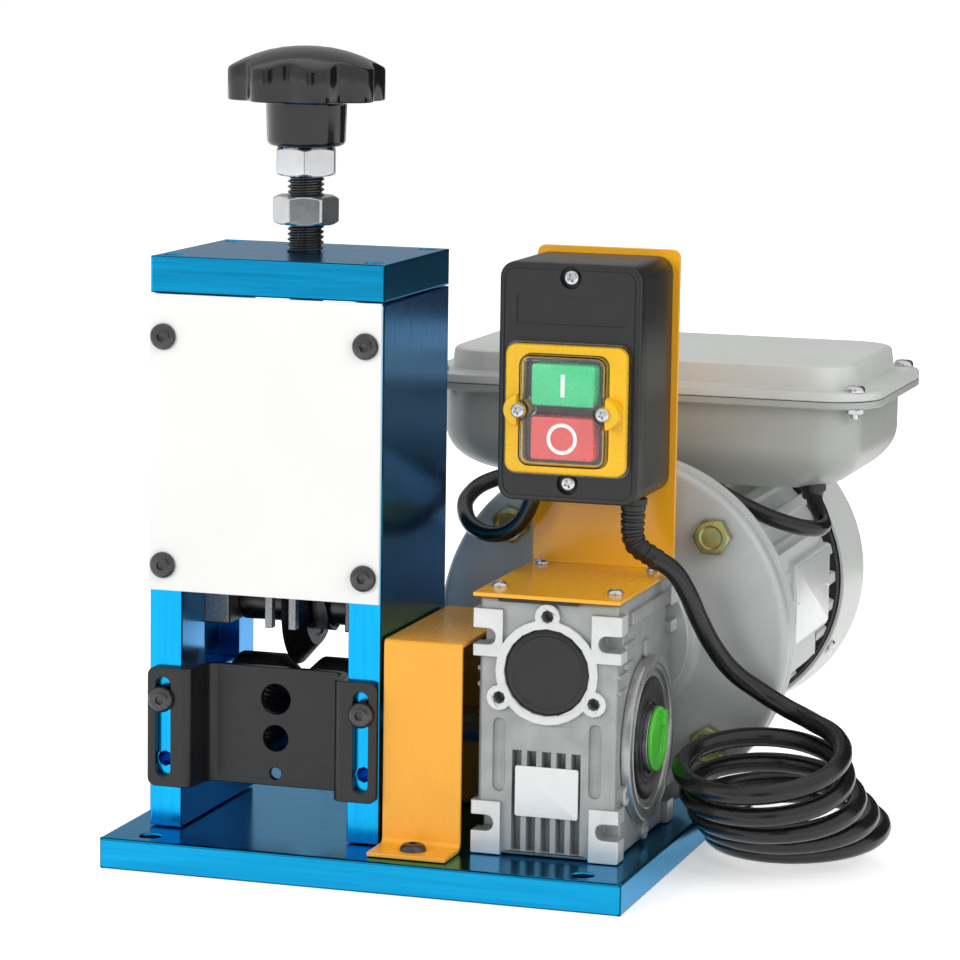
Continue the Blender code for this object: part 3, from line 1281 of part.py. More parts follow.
def make_gearbox_covers():
    """The side cover with its dished middle, and the cap over the worm's front bearing."""
    axis = (MECHANISM_Y, FEED_AXIS_Z)
    start = GEARBOX_RIGHT_X - GEARBOX_RECESS + GAP
    end = start + SIDE_COVER_THICKNESS
    bore = HOLLOW_SHAFT_RADIUS + GAP
    inner = SIDE_COVER_RADIUS - SIDE_COVER_RIM
    profile = (
        (start, bore),
        (start, SIDE_COVER_RADIUS),
        (end - SIDE_COVER_DISH / 2, SIDE_COVER_RADIUS),
        (end, SIDE_COVER_RADIUS - SIDE_COVER_DISH / 2),
        (end, inner),
        (end - SIDE_COVER_DISH, inner - SIDE_COVER_DISH),
        (end - SIDE_COVER_DISH, bore),
    )
    piece("gearbox_side_cover", "cast_aluminium", turned(profile, axis, "X", FINE_ROUND))
    front = GEARBOX_FRONT_Y + SUNK
    profile = (
        (front, 0),
        (front, END_CAP_RADIUS - SUNK / 2),
        (front + SUNK / 2, END_CAP_RADIUS),
        (front + END_CAP_THICKNESS, END_CAP_RADIUS),
        (front + END_CAP_THICKNESS, 0),
    )
    piece("gearbox_end_cap", "black_paint", turned(profile, (GEARBOX_X, WORM_AXIS_Z), "Y"))


def make_rotor():
    """The worm on the motor's shaft, the rotor and its fan, which turn together."""
    centre = (GEARBOX_X, WORM_AXIS_Z)
    origin = (GEARBOX_X, MECHANISM_Y, WORM_AXIS_Z)
    turning = pivot("rotor_axis", origin)
    half = WORM_THREAD_LENGTH / 2
    root = WORM_PITCH_RADIUS - TOOTH_MODULE * WORM_ROOT_SHARE
    front = MECHANISM_Y - half - WORM_FRONT_LENGTH
    shoulder = MECHANISM_Y + half + TOOTH_PITCH / 2
    back = FLANGE_START_Y + INPUT_NECK_LENGTH / 2
    profile = (
        (front, 0),
        (front, root),
        (shoulder, root),
        (shoulder, WORM_QUILL_RADIUS),
        (back, WORM_QUILL_RADIUS),
        (back, 0),
    )
    bore = rod(
        MOTOR_SHAFT_RADIUS + GAP, centre, back - WORM_BORE_DEPTH - GAP, back + OVERRUN, "Y", ROUND
    )
    threads = [worm_thread(number) for number in range(WORM_STARTS)]
    piece(
        "worm", "tool_steel", turned(profile, centre, "Y", SMALL_ROUND), joined=threads, cut=[bore],
        origin=origin, parent=turning,
    )
    core_start = MOTOR_START_Y + ROTOR_CORE_START
    core_end = core_start + ROTOR_CORE_LENGTH
    fan_start = REAR_END_Y + FAN_START
    fan_end = fan_start + FAN_WIDTH
    profile = (
        (back - WORM_BORE_DEPTH, 0),
        (back - WORM_BORE_DEPTH, MOTOR_SHAFT_RADIUS),
        (core_start, MOTOR_SHAFT_RADIUS),
        (core_start, ROTOR_RADIUS),
        (core_end, ROTOR_RADIUS),
        (core_end, MOTOR_SHAFT_RADIUS),
        (fan_end + GAP, MOTOR_SHAFT_RADIUS),
        (fan_end + GAP, 0),
    )
    shape = turned(profile, centre, "Y", SMALL_ROUND)
    piece("motor_rotor", "tool_steel", shape, origin=origin, parent=turning)
    make_fan(centre, fan_start, fan_end, origin, turning)


def make_fan(centre, start, end, origin, turning):
    """A radial fan: a hub and back disc with straight blades."""
    plate = start + FAN_BLADE_THICKNESS
    profile = (
        (start, 0),
        (start, FAN_RADIUS),
        (plate, FAN_RADIUS),
        (plate, FAN_HUB_RADIUS),
        (end, FAN_HUB_RADIUS),
        (end, 0),
    )
    blades = []
    for number in range(FAN_BLADES):
        angle = math.tau * number / FAN_BLADES
        along = Vector((math.cos(angle), math.sin(angle)))
        across = Vector((-along.y, along.x)) * FAN_BLADE_THICKNESS / 2
        near = Vector(centre) + along * (FAN_HUB_RADIUS - SUNK)
        far = Vector(centre) + along * (FAN_RADIUS - SUNK)
        outline = [tuple(p) for p in (near - across, far - across, far + across, near + across)]
        blades.append(prism(outline, start + FAN_BLADE_THICKNESS / 2, end - SUNK, "Y"))
    hole = rod(MOTOR_SHAFT_RADIUS + GAP, centre, start - OVERRUN, end + OVERRUN, "Y", ROUND)
    piece(
        "cooling_fan", "black_paint", turned(profile, centre, "Y"), joined=blades, cut=[hole],
        origin=origin, parent=turning,
    )


# The flanges and the motor


def make_flanges():
    """The gearbox's input flange and the motor's end shield, held together by four bolts."""
    centre = (GEARBOX_X, WORM_AXIS_Z)
    bore = WORM_BORE_RADIUS
    arc_inset = FLANGE_EDGE * (1 - math.cos(math.pi / 4))
    profile = (
        (FLANGE_START_Y, bore),
        (FLANGE_START_Y, INPUT_NECK_RADIUS),
        (INPUT_FACE_Y - FLANGE_EDGE, INPUT_NECK_RADIUS),
        (INPUT_FACE_Y, INPUT_NECK_RADIUS + FLANGE_EDGE),
        (INPUT_FACE_Y, FLANGE_RADIUS - FLANGE_EDGE),
        (INPUT_FACE_Y + arc_inset, FLANGE_RADIUS - arc_inset),
        (INPUT_FACE_Y + FLANGE_EDGE, FLANGE_RADIUS),
        (INPUT_BACK_Y, FLANGE_RADIUS),
        (INPUT_BACK_Y, bore),
    )
    piece(
        "input_flange", "cast_aluminium", turned(profile, centre, "Y", FINE_ROUND),
        cut=bolt_holes(INPUT_FACE_Y - OVERRUN, INPUT_BACK_Y + OVERRUN),
    )
    shaft_hole = MOTOR_SHAFT_RADIUS + GAP
    profile = (
        (SHIELD_START_Y, bore),
        (SHIELD_START_Y, FLANGE_RADIUS),
        (SHIELD_BACK_Y, FLANGE_RADIUS),
        (SHIELD_BACK_Y, SHIELD_SPIGOT_RADIUS),
        (SHIELD_BACK_Y + SHIELD_SPIGOT_LENGTH, SHIELD_SPIGOT_RADIUS),
        (SHIELD_BACK_Y + SHIELD_SPIGOT_LENGTH, shaft_hole),
        (SHIELD_BACK_Y, shaft_hole),
        (SHIELD_BACK_Y, bore),
    )
    piece(
        "motor_end_shield", "motor_grey", turned(profile, centre, "Y", FINE_ROUND),
        cut=bolt_holes(SHIELD_START_Y - OVERRUN, SHIELD_BACK_Y + OVERRUN),
    )
    head_back = INPUT_FACE_Y - GAP
    for number, (x, z) in enumerate(bolt_places(), 1):
        shape = prism(hexagon(BOLT_ACROSS, (x, z), math.pi / 12), head_back - BOLT_HEAD, head_back, "Y")
        shank = rod(BOLT_RADIUS, (x, z), head_back - BOLT_HEAD / 2, head_back + BOLT_REACH, "Y")
        piece(f"flange_bolt_{number}", "olive_zinc", shape, joined=[shank], origin=(x, head_back, z))


def bolt_places():
    """The centres of the four flange bolts, in the plane of the flange."""
    shares = ((-1, -1), (1, -1), (-1, 1), (1, 1))
    return [(GEARBOX_X + FLANGE_BOLT_OFFSET * a, WORM_AXIS_Z + FLANGE_BOLT_OFFSET * b) for a, b in shares]


def bolt_holes(start, end):
    return [rod(BOLT_RADIUS + GAP, place, start, end, "Y") for place in bolt_places()]


def make_motor():
    """The ribbed housing with its label pad, the rear shield and the slotted cowl."""
    centre = (GEARBOX_X, WORM_AXIS_Z)
    rib_shares = ((0.00, 0), (0.08, 1), (0.42, 1), (0.50, 0))
    outline = []
    for rib in range(MOTOR_RIBS):
        for turn, height in rib_shares:
            angle = math.tau * (rib + turn) / MOTOR_RIBS
            radius = MOTOR_RADIUS - MOTOR_RIB_DEPTH * (1 - height)
            outline.append((centre[0] + radius * math.cos(angle), centre[1] + radius * math.sin(angle)))
    pad = block(
        (centre[0] + MOTOR_RADIUS / 2, MOTOR_START_Y + MOTOR_PAD_START, centre[1] - MOTOR_PAD_HALF_HEIGHT),
        (
            centre[0] + MOTOR_PAD_OFFSET,
            MOTOR_START_Y + MOTOR_PAD_START + MOTOR_PAD_LENGTH,
            centre[1] + MOTOR_PAD_HALF_HEIGHT,
        ),
    )
    bore = rod(
        STATOR_BORE_RADIUS, centre, MOTOR_START_Y - OVERRUN, MOTOR_END_Y + OVERRUN, "Y", ROUND
    )
    shape = prism(outline, MOTOR_START_Y, MOTOR_END_Y, "Y")
    piece("motor_housing", "motor_grey", shape, joined=[pad], cut=[bore])
    shaft_hole = MOTOR_SHAFT_RADIUS + GAP
    shield_radius = COWL_FRONT_RADIUS - COWL_WALL - GAP
    profile = (
        (REAR_START_Y, shaft_hole),
        (REAR_START_Y, shield_radius),
        (REAR_END_Y, shield_radius),
        (REAR_END_Y, shaft_hole),
    )
    piece("motor_rear_shield", "motor_grey", turned(profile, centre, "Y", FINE_ROUND))
    make_cowl(centre)


def make_cowl(centre):
    """The fan cowl: a flared shell with a rounded rear wall and two rings of radial slots."""
    start = REAR_START_Y + COWL_START
    end = start + COWL_LENGTH
    outer = [(start, COWL_FRONT_RADIUS), (end - COWL_CORNER, COWL_REAR_RADIUS)]
    inner = [(start, COWL_FRONT_RADIUS - COWL_WALL), (end - COWL_CORNER, COWL_REAR_RADIUS - COWL_WALL)]
    arc_steps = 2
    for step in range(1, arc_steps + 1):
        angle = math.pi / 2 * step / arc_steps
        for path, radius in ((outer, COWL_CORNER), (inner, COWL_CORNER - COWL_WALL)):
            path.append((
                end - COWL_CORNER + radius * math.sin(angle),
                COWL_REAR_RADIUS - COWL_CORNER + radius * math.cos(angle),
            ))
    profile = outer + [(end, 0), (end - COWL_WALL, 0)] + inner[::-1]
    slots = []
    for low, high in GRILLE_RINGS:
        for number in range(GRILLE_SLOTS):
            angle = math.tau * number / GRILLE_SLOTS
            along = Vector((math.cos(angle), math.sin(angle)))
            across = Vector((-along.y, along.x)) * GRILLE_SLOT_WIDTH / 2
            near = Vector(centre) + along * low
            far = Vector(centre) + along * high
            corners = [tuple(p) for p in (near - across, far - across, far + across, near + across)]
            slots.append(prism(corners, end - COWL_WALL - OVERRUN, end + OVERRUN, "Y"))
    piece("fan_cowl", "motor_grey", turned(profile, centre, "Y", FINE_ROUND), cut=slots)


def box_section(half_x, half_y, corner, z):
    """A rounded rectangle of the terminal box at one height."""
    outline = filleted(rectangle(half_x, half_y, (GEARBOX_X, TERMINAL_CENTRE_Y)), corner, steps=3)
    return [(x, y, z) for x, y in outline]


def make_terminal_box():
    """The tub that saddles the motor, and its lid with sloping sides."""
    wall_x = TERMINAL_HALF_X - TERMINAL_WALL_INSET
    wall_y = TERMINAL_HALF_Y - TERMINAL_WALL_INSET
    corner = TERMINAL_CORNER - TERMINAL_WALL_INSET / 2
    sections = []
    bend_steps = 3
    for step in range(bend_steps + 1):
        angle = math.pi / 2 * step / bend_steps
        inset = TERMINAL_BELLY * (1 - math.sin(angle))
        z = TERMINAL_WAIST_Z - (TERMINAL_WAIST_Z - TERMINAL_BOTTOM_Z) * math.cos(angle)
        sections.append(box_section(wall_x - inset, wall_y - inset, corner, z))
    rim_low = TERMINAL_RIM_Z - TERMINAL_RIM
    sections.append(box_section(wall_x, wall_y, corner, rim_low))
    sections.append(box_section(TERMINAL_HALF_X, TERMINAL_HALF_Y, TERMINAL_CORNER, rim_low))
    sections.append(box_section(TERMINAL_HALF_X, TERMINAL_HALF_Y, TERMINAL_CORNER, TERMINAL_RIM_Z))
    saddle = rod(
        MOTOR_RADIUS + SADDLE_GAP, (GEARBOX_X, WORM_AXIS_Z), TERMINAL_CENTRE_Y - TERMINAL_HALF_Y,
        TERMINAL_CENTRE_Y + TERMINAL_HALF_Y, "Y", FINE_ROUND,
    )
    lead_x, lead_y, lead_z = LEAD_ROUTE[0]
    entry = rod(LEAD_RADIUS + GAP, (lead_x, lead_y), TERMINAL_BOTTOM_Z - OVERRUN, lead_z + GAP, "Z")
    piece("terminal_box", "motor_grey", lofted(sections), cut=[saddle, entry])
    low = TERMINAL_RIM_Z + GAP
    rim_top = low + TERMINAL_LID_RIM
    top = low + TERMINAL_LID_HEIGHT
    inset_x = TERMINAL_HALF_X - TERMINAL_LID_INSET_X
    inset_y = TERMINAL_HALF_Y - TERMINAL_LID_INSET_Y
    slope = TERMINAL_LID_RIM / 2
    sections = [
        box_section(TERMINAL_HALF_X, TERMINAL_HALF_Y, TERMINAL_CORNER, low),
        box_section(TERMINAL_HALF_X, TERMINAL_HALF_Y, TERMINAL_CORNER, rim_top),
        box_section(inset_x + slope, inset_y + slope, TERMINAL_CORNER, rim_top + slope / 2),
        box_section(inset_x, inset_y, TERMINAL_CORNER - slope, top - slope / 2),
        box_section(inset_x - slope / 2, inset_y - slope / 2, TERMINAL_CORNER - slope, top),
    ]
    piece("terminal_box_lid", "motor_grey", lofted(sections))


# The switch


def make_bracket():
    """The bent sheet that stands on the gearbox and carries the switch box."""
    low = GEARBOX_TOP_Z + GAP
    path = [
        (BRACKET_BACK_Y, BRACKET_TOP_Z),
        (BRACKET_BACK_Y, low),
        (BRACKET_FRONT_Y, low),
    ]
    outline = sheet_outline(filleted(path, BRACKET_BEND, closed=False), BRACKET_THICKNESS)
    half = GEARBOX_WIDTH / 2 - GAP
    shape = prism(outline, GEARBOX_X - half, GEARBOX_X + half, "X")
    corners = [
        edge for edge in shape.edges
        if all(vert.co.z > BRACKET_TOP_Z - GAP for vert in edge.verts)
        and abs(edge.verts[0].co.x - edge.verts[1].co.x) < GAP
    ]
    bevelled(shape, corners, BRACKET_CORNER, 3)
    piece("switch_bracket", "amber_paint", shape)


def make_switch_box():
    """The box and its lid, with the pocket that the buttons sink into."""
    half = SWITCH_WIDTH / 2
    middle_z = (SWITCH_BOTTOM_Z + SWITCH_TOP_Z) / 2
    half_z = (SWITCH_TOP_Z - SWITCH_BOTTOM_Z) / 2
    outline = filleted(rectangle(half, half_z, (SWITCH_X, middle_z)), SWITCH_CORNER, steps=4)
    lid_back = SWITCH_FRONT_Y + SWITCH_LID_DEPTH
    back = BRACKET_BACK_Y - BRACKET_THICKNESS - GAP
    entry_top = SWITCH_BOTTOM_Z + SWITCH_ENTRY_DEPTH
    lead_x, lead_y, _ = LEAD_ROUTE[-1]
    entries = [
        rod(LEAD_RADIUS + GAP, (lead_x, lead_y), SWITCH_BOTTOM_Z - OVERRUN, entry_top, "Z"),
        rod(GLAND_RADIUS / 2 + GAP, (GLAND_TOP_X, GLAND_TOP_Y), SWITCH_BOTTOM_Z - OVERRUN, entry_top, "Z"),
    ]
    piece("switch_box", "charcoal_plastic", prism(outline, lid_back + GAP, back, "Y"), cut=entries)
    lid = prism(outline, SWITCH_FRONT_Y, lid_back, "Y")
    front_edges = [
        edge for edge in lid.edges if all(vert.co.y < SWITCH_FRONT_Y + GAP for vert in edge.verts)
    ]
    bevelled(lid, front_edges, SWITCH_EDGE, 2)
    pockets = []
    for z, half_height in BUTTON_HEIGHTS.values():
        pockets.append(
            block(
                (SWITCH_X - BUTTON_HALF_WIDTH - GAP, SWITCH_FRONT_Y - OVERRUN, z - half_height - GAP),
                (SWITCH_X + BUTTON_HALF_WIDTH + GAP, lid_back - SUNK, z + half_height + GAP),
            )
        )
    piece("switch_lid", "charcoal_plastic", lid, cut=pockets)


def make_switch_frame():
    """The frame round the clear cover, with a screw lug at each side."""
    back = SWITCH_FRONT_Y - GAP - CLEAR_LIP_THICKNESS - GAP
    front = back - FRAME_THICKNESS
    outline = filleted(
        rectangle(FRAME_HALF_WIDTH, FRAME_HALF_HEIGHT, (SWITCH_X, FRAME_CENTRE_Z)), FRAME_CORNER, steps=3
    )
    window = filleted(
        rectangle(CLEAR_HALF_WIDTH + GAP, CLEAR_HALF_HEIGHT + GAP, (SWITCH_X, FRAME_CENTRE_Z)),
        CLEAR_CORNER, steps=3,
    )
    frame = piece("switch_frame", "yellow_plastic", prism(outline, front, back, "Y"))
    combine(frame, "DIFFERENCE", prism(window, front - OVERRUN, back + OVERRUN, "Y"), (0, 0, 0))
    for side in (-1, 1):
        place = (SWITCH_X + side * LUG_OFFSET, FRAME_CENTRE_Z)
        lug = rod(LUG_RADIUS, place, front - LUG_REACH, back, "Y", SMALL_ROUND)
        combine(frame, "UNION", lug, (0, 0, 0))
    notch = prism(window, front - LUG_REACH - OVERRUN, back + OVERRUN, "Y")
    combine(frame, "DIFFERENCE", notch, (0, 0, 0))
    for side in (-1, 1):
        place = (SWITCH_X + side * LUG_OFFSET, FRAME_CENTRE_Z)
        post = rod(POST_RADIUS, place, front - LUG_REACH, back, "Y", SMALL_ROUND)
        combine(frame, "UNION", post, (0, 0, 0))


def make_clear_cover():
    """The clear dome over the buttons, with a lip behind the frame and a notch round each screw post."""
    lip_back = SWITCH_FRONT_Y - GAP
    lip_front = lip_back - CLEAR_LIP_THICKNESS
    dome_front = SWITCH_FRONT_Y - CLEAR_REACH
    centre = (SWITCH_X, FRAME_CENTRE_Z)
    edge = rectangle(FRAME_HALF_WIDTH + CLEAR_LIP, FRAME_HALF_HEIGHT + CLEAR_LIP, centre)
    lip = prism(filleted(edge, FRAME_CORNER, steps=3), lip_front, lip_back, "Y")
    cover = piece("clear_cover", "clear_plastic", lip)
    dome = filleted(rectangle(CLEAR_HALF_WIDTH, CLEAR_HALF_HEIGHT, centre), CLEAR_CORNER, steps=3)
    origin = (0, 0, 0)
    combine(cover, "UNION", prism(dome, dome_front, lip_back, "Y"), origin)
    inside = filleted(
        rectangle(CLEAR_HALF_WIDTH - CLEAR_WALL, CLEAR_HALF_HEIGHT - CLEAR_WALL, centre),
        CLEAR_CORNER - CLEAR_WALL, steps=3,
    )
    hollow = combine(
        cover, "DIFFERENCE", prism(inside, dome_front + CLEAR_WALL, lip_back + OVERRUN, "Y"), origin
    )
    for side in (-1, 1):
        place = (SWITCH_X + side * LUG_OFFSET, FRAME_CENTRE_Z)
        sleeve = rod(POST_RADIUS + GAP + CLEAR_WALL, place, dome_front, lip_back + 2 * OVERRUN, "Y")
        combine(hollow, "DIFFERENCE", sleeve, origin)
        notch = rod(POST_RADIUS + GAP, place, dome_front - OVERRUN, lip_back + OVERRUN, "Y")
        combine(cover, "DIFFERENCE", notch, origin)


def make_buttons():
    for name, (z, half_height) in BUTTON_HEIGHTS.items():
        low = (SWITCH_X - BUTTON_HALF_WIDTH, BUTTON_FACE_Y, z - half_height)
        back = BUTTON_FACE_Y + BUTTON_THICKNESS + BUTTON_TRAVEL
        high = (SWITCH_X + BUTTON_HALF_WIDTH, back, z + half_height)
        finish = "green_plastic" if name == "start_button" else "red_plastic"
        piece(name, finish, block(low, high, BUTTON_EDGE), origin=(SWITCH_X, BUTTON_FACE_Y, z))


# The cords


def smooth_route(points, spacing):
    """Points at an even spacing on a Catmull-Rom curve through the route's own points."""
    route = [Vector(p) for p in points]
    fine = []
    steps = 24
    for i in range(len(route) - 1):
        before = route[i - 1] if i else 2 * route[0] - route[1]
        after = route[i + 2] if i + 2 < len(route) else 2 * route[-1] - route[-2]
        for step in range(steps):
            t = step / steps
            a = 2 * route[i]
            b = (route[i + 1] - before) * t
            c = (2 * before - 5 * route[i] + 4 * route[i + 1] - after) * t**2
            d = (3 * route[i] - before - 3 * route[i + 1] + after) * t**3
            fine.append((a + b + c + d) / 2)
    fine.append(route[-1])
    lengths = [0.0]
    for first, second in zip(fine, fine[1:]):
        lengths.append(lengths[-1] + (second - first).length)
    count = max(2, round(lengths[-1] / spacing))
    even = []
    nearest = 0
    for number in range(count + 1):
        target = lengths[-1] * number / count
        while lengths[nearest + 1] < target and nearest < len(fine) - 2:
            nearest += 1
        run = lengths[nearest + 1] - lengths[nearest]
        share = (target - lengths[nearest]) / run if run else 0
        even.append(fine[nearest].lerp(fine[nearest + 1], min(1, share)))
    return even


def squared(points, start, end, radius):
    """The same points, with the first and the last diameter straight in the directions given."""
    reach = 2 * radius
    head = [points[0], points[0] + Vector(start) * reach] if start else [points[0]]
    foot = [points[-1] - Vector(end) * reach, points[-1]] if end else [points[-1]]
    kept = [
        p for p in points
        if (p - head[-1]).length > radius and (p - head[0]).length > reach
        and (p - foot[0]).length > radius and (p - foot[-1]).length > reach
    ]
    return head + kept + foot


def tube(name, finish, points, radius, sides_level):
    """A round cord along a list of points, with closed ends."""
    curve = bpy.data.curves.new(name, "CURVE")
    curve.dimensions = "3D"
    spline = curve.splines.new("POLY")
    spline.points.add(len(points) - 1)
    for spot, point in zip(spline.points, points):
        spot.co = (*point, 1)
    curve.bevel_depth = radius
    curve.bevel_resolution = sides_level
    curve.use_fill_caps = True
    curve.materials.append(bpy.data.materials.get(finish) or make_material(finish))
    obj = bpy.data.objects.new(name, curve)
    bpy.context.scene.collection.objects.link(obj)
    return obj


def least_gap(points, radius):
    """The least clear distance between stretches of one tube that lie over four diameters apart along it."""
    lengths = [0.0]
    for first, second in zip(points, points[1:]):
        lengths.append(lengths[-1] + (second - first).length)
    least = math.inf
    for i, first in enumerate(points):
        for j in range(i + 1, len(points)):
            if lengths[j] - lengths[i] > 8 * radius:
                least = min(least, (points[j] - first).length - 2 * radius)
    return least


def loop_at(turn):
    """The size and place of the loops at a number of turns from the top, read between the table's rows."""
    row = min(int(turn), len(COIL_LOOPS) - 2)
    share = turn - row
    return [first + (second - first) * share for first, second in zip(COIL_LOOPS[row], COIL_LOOPS[row + 1])]


def open_loops():
    """The piled loops beside the gearbox, from top to bottom."""
    turns = len(COIL_LOOPS) - 1 - (COIL_END_ANGLE - COIL_START_ANGLE) / math.tau
    count = round(turns * COIL_POINTS)
    loops = []
    for number in range(count + 1):
        turn = turns * number / count
        x, y, z, half_x, half_y, slope = loop_at(turn)
        angle = COIL_START_ANGLE - math.tau * turn
        back = half_y * math.sin(angle)
        slope = math.radians(slope)
        loops.append(
            Vector((x + half_x * math.cos(angle), y + back * math.cos(slope), z + back * math.sin(slope)))
        )
    return loops


def stored_loops():
    """The round loops behind the base: in on the floor, up a layer in half a turn, and out again on top."""
    count = STORED_TURNS * COIL_POINTS
    pitch_in = (STORED_RADIUS - STORED_INNER_RADIUS) / STORED_TURNS_IN
    loops = []
    for number in range(count + 1):
        turn = STORED_TURNS * number / count
        climb = min(max(turn - STORED_TURNS_IN + STORED_CLIMB / 2, 0), STORED_CLIMB)
        wound_in = min(turn, STORED_TURNS_IN)
        wound_out = max(turn - STORED_TURNS_IN - STORED_CLIMB / 2, 0)
        radius = STORED_RADIUS - pitch_in * wound_in + STORED_PITCH_OUT * wound_out
        angle = -math.pi / 2 - math.tau * turn
        rise = STORED_LAYER * (1 - math.cos(math.pi * climb / STORED_CLIMB)) / 2
        x = STORED_X + radius * math.cos(angle)
        y = STORED_Y + radius * math.sin(angle)
        loops.append(Vector((x, y, STORED_LOW_Z + rise)))
    return loops


def coil_points():
    """The open loops, the stretch that runs behind the base, the stored loops and the end at the plug."""
    loops = open_loops()
    lead_in = (loops[0] - loops[1]).normalized() * 2 * CORD_RADIUS
    stored = stored_loops()
    spacing = CORD_SPACING * 2 * CORD_RADIUS
    between = smooth_route([loops[-1], *TAIL_ROUTE, stored[0]], spacing)
    plug = Vector((PLUG_START_X + GAP, stored[-1].y, PLUG_HEIGHT / 2))
    tail = smooth_route([stored[-1], plug], spacing)
    tail = squared(tail[1:], None, LEFTWARDS, CORD_RADIUS)
    return [loops[0] + lead_in] + loops + between[1:-1] + stored + tail


def make_cords():
    """The motor's lead, and the power cord with its strain relief, its loops and its plug."""
    spacing = CORD_SPACING * 2 * LEAD_RADIUS
    lead = squared(smooth_route(LEAD_ROUTE, spacing), DOWNWARDS, UPWARDS, LEAD_RADIUS)
    tube("motor_lead", "cord_rubber", lead, LEAD_RADIUS, 2)
    gland_top = SWITCH_BOTTOM_Z - GAP
    neck = GLAND_RADIUS / 2
    profile = (
        (gland_top + SWITCH_ENTRY_DEPTH / 2, 0),
        (gland_top + SWITCH_ENTRY_DEPTH / 2, neck),
        (gland_top, neck),
        (gland_top, GLAND_RADIUS),
        (gland_top - GLAND_LENGTH / 3, GLAND_RADIUS),
        (gland_top - GLAND_LENGTH, CORD_RADIUS + SUNK),
        (gland_top - GLAND_LENGTH, 0),
    )
    piece("cord_gland", "cord_rubber", turned(profile, (GLAND_TOP_X, GLAND_TOP_Y), "Z", SMALL_ROUND))
    coil = coil_points()
    ahead = (coil[0] - coil[1]).normalized()
    meets = coil[0] + ahead * GAP
    route = smooth_route([*CORD_ROUTE, meets], CORD_SPACING * 2 * CORD_RADIUS)
    route = squared(route, DOWNWARDS, -ahead, CORD_RADIUS)
    tube("power_cord", "cord_rubber", route, CORD_RADIUS, 2)
    tube("cord_coil", "cord_rubber", coil, CORD_RADIUS, 1)
    length = sum((b - a).length for a, b in zip(coil, coil[1:]))
    print(f"coil length {length:.3f} m, least gap {least_gap(coil, CORD_RADIUS) * 1000:.2f} mm")
    make_plug()


def make_plug():
    """A moulded plug with a ribbed relief and two flat blades, lying where the cord ends."""
    axis = (stored_loops()[-1].y, PLUG_HEIGHT / 2)
    body_start = PLUG_START_X - PLUG_RELIEF_LENGTH
    body_end = body_start - PLUG_LENGTH
    low = (body_end, axis[0] - PLUG_WIDTH / 2, 0)
    high = (body_start, axis[0] + PLUG_WIDTH / 2, PLUG_HEIGHT)
    pitch = PLUG_RELIEF_LENGTH / PLUG_RIBS
    profile = [(PLUG_START_X, 0)]
    for rib in range(PLUG_RIBS):
        start = PLUG_START_X - rib * pitch
        end = start - pitch * PLUG_RIB_SHARE
        profile += [(start, PLUG_RELIEF_RADIUS), (end, PLUG_RELIEF_RADIUS)]
        profile += [(end, CORD_RADIUS + GAP), (start - pitch, CORD_RADIUS + GAP)]
    profile += [(body_start - SUNK, CORD_RADIUS + GAP), (body_start - SUNK, 0)]
    joined = [turned(profile, axis, "X", SMALL_ROUND)]
    for side in (-1, 1):
        centre = (axis[0] + side * PLUG_BLADE_OFFSET, axis[1])
        outline = rectangle(PLUG_BLADE_THICKNESS / 2, PLUG_BLADE_WIDTH / 2, centre)
        joined.append(prism(outline, body_end - PLUG_BLADE_LENGTH, body_end + SUNK, "X"))
    piece("mains_plug", "cord_rubber", block(low, high, PLUG_EDGE), joined=joined)


def main():
    clear_scene()
    make_base_plate()
    make_side_plate("left_side_plate", -1)
    make_side_plate("right_side_plate", 1)
    make_top_plate()
    make_front_cover()
    make_guide_plate()
    make_coupling_cover()
    make_carriage()
    make_feed()
    make_gearbox_housing()
    make_gearbox_covers()
    make_rotor()
    make_flanges()
    make_motor()
    make_terminal_box()
    make_bracket()
    make_switch_box()
    make_switch_frame()
    make_clear_cover()
    make_buttons()
    make_cords()


main()
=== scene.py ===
# Wire stripping machine. Sizes are in millimetres, in the model's own frame.
import json
import math

import bmesh
import bpy
from mathutils import Matrix, Vector


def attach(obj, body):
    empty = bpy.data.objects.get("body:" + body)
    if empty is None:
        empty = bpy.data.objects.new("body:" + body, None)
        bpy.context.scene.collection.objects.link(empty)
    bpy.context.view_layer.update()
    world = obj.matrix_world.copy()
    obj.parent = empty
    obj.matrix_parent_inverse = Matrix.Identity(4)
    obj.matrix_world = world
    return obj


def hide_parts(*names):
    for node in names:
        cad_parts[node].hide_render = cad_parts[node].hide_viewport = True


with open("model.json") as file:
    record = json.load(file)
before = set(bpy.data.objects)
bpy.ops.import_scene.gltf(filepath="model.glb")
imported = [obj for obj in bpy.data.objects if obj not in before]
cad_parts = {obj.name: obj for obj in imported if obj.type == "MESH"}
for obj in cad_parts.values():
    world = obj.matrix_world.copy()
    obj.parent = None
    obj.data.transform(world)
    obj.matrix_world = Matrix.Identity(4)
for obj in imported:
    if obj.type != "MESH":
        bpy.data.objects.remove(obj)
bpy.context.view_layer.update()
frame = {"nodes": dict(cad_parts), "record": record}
nodes = frame["nodes"]
bodyOf = {node: body
          for body, members in frame["record"]["behaviour"]["bodies"].items() for node in members}
scene = bpy.context.scene
tau = math.tau
mm = 0.001  # the frame is in metres, the sizes here in millimetres
print("frame loaded,", len(nodes), "nodes")


# Camera

cameraSet = {
    "place": (472.54, -1433.92, 367.8),
    "azimuth": 17.52, "elevation": 8.48, "roll": 0.81,
    "lens": 148.96, "sensor": 36.0,
}


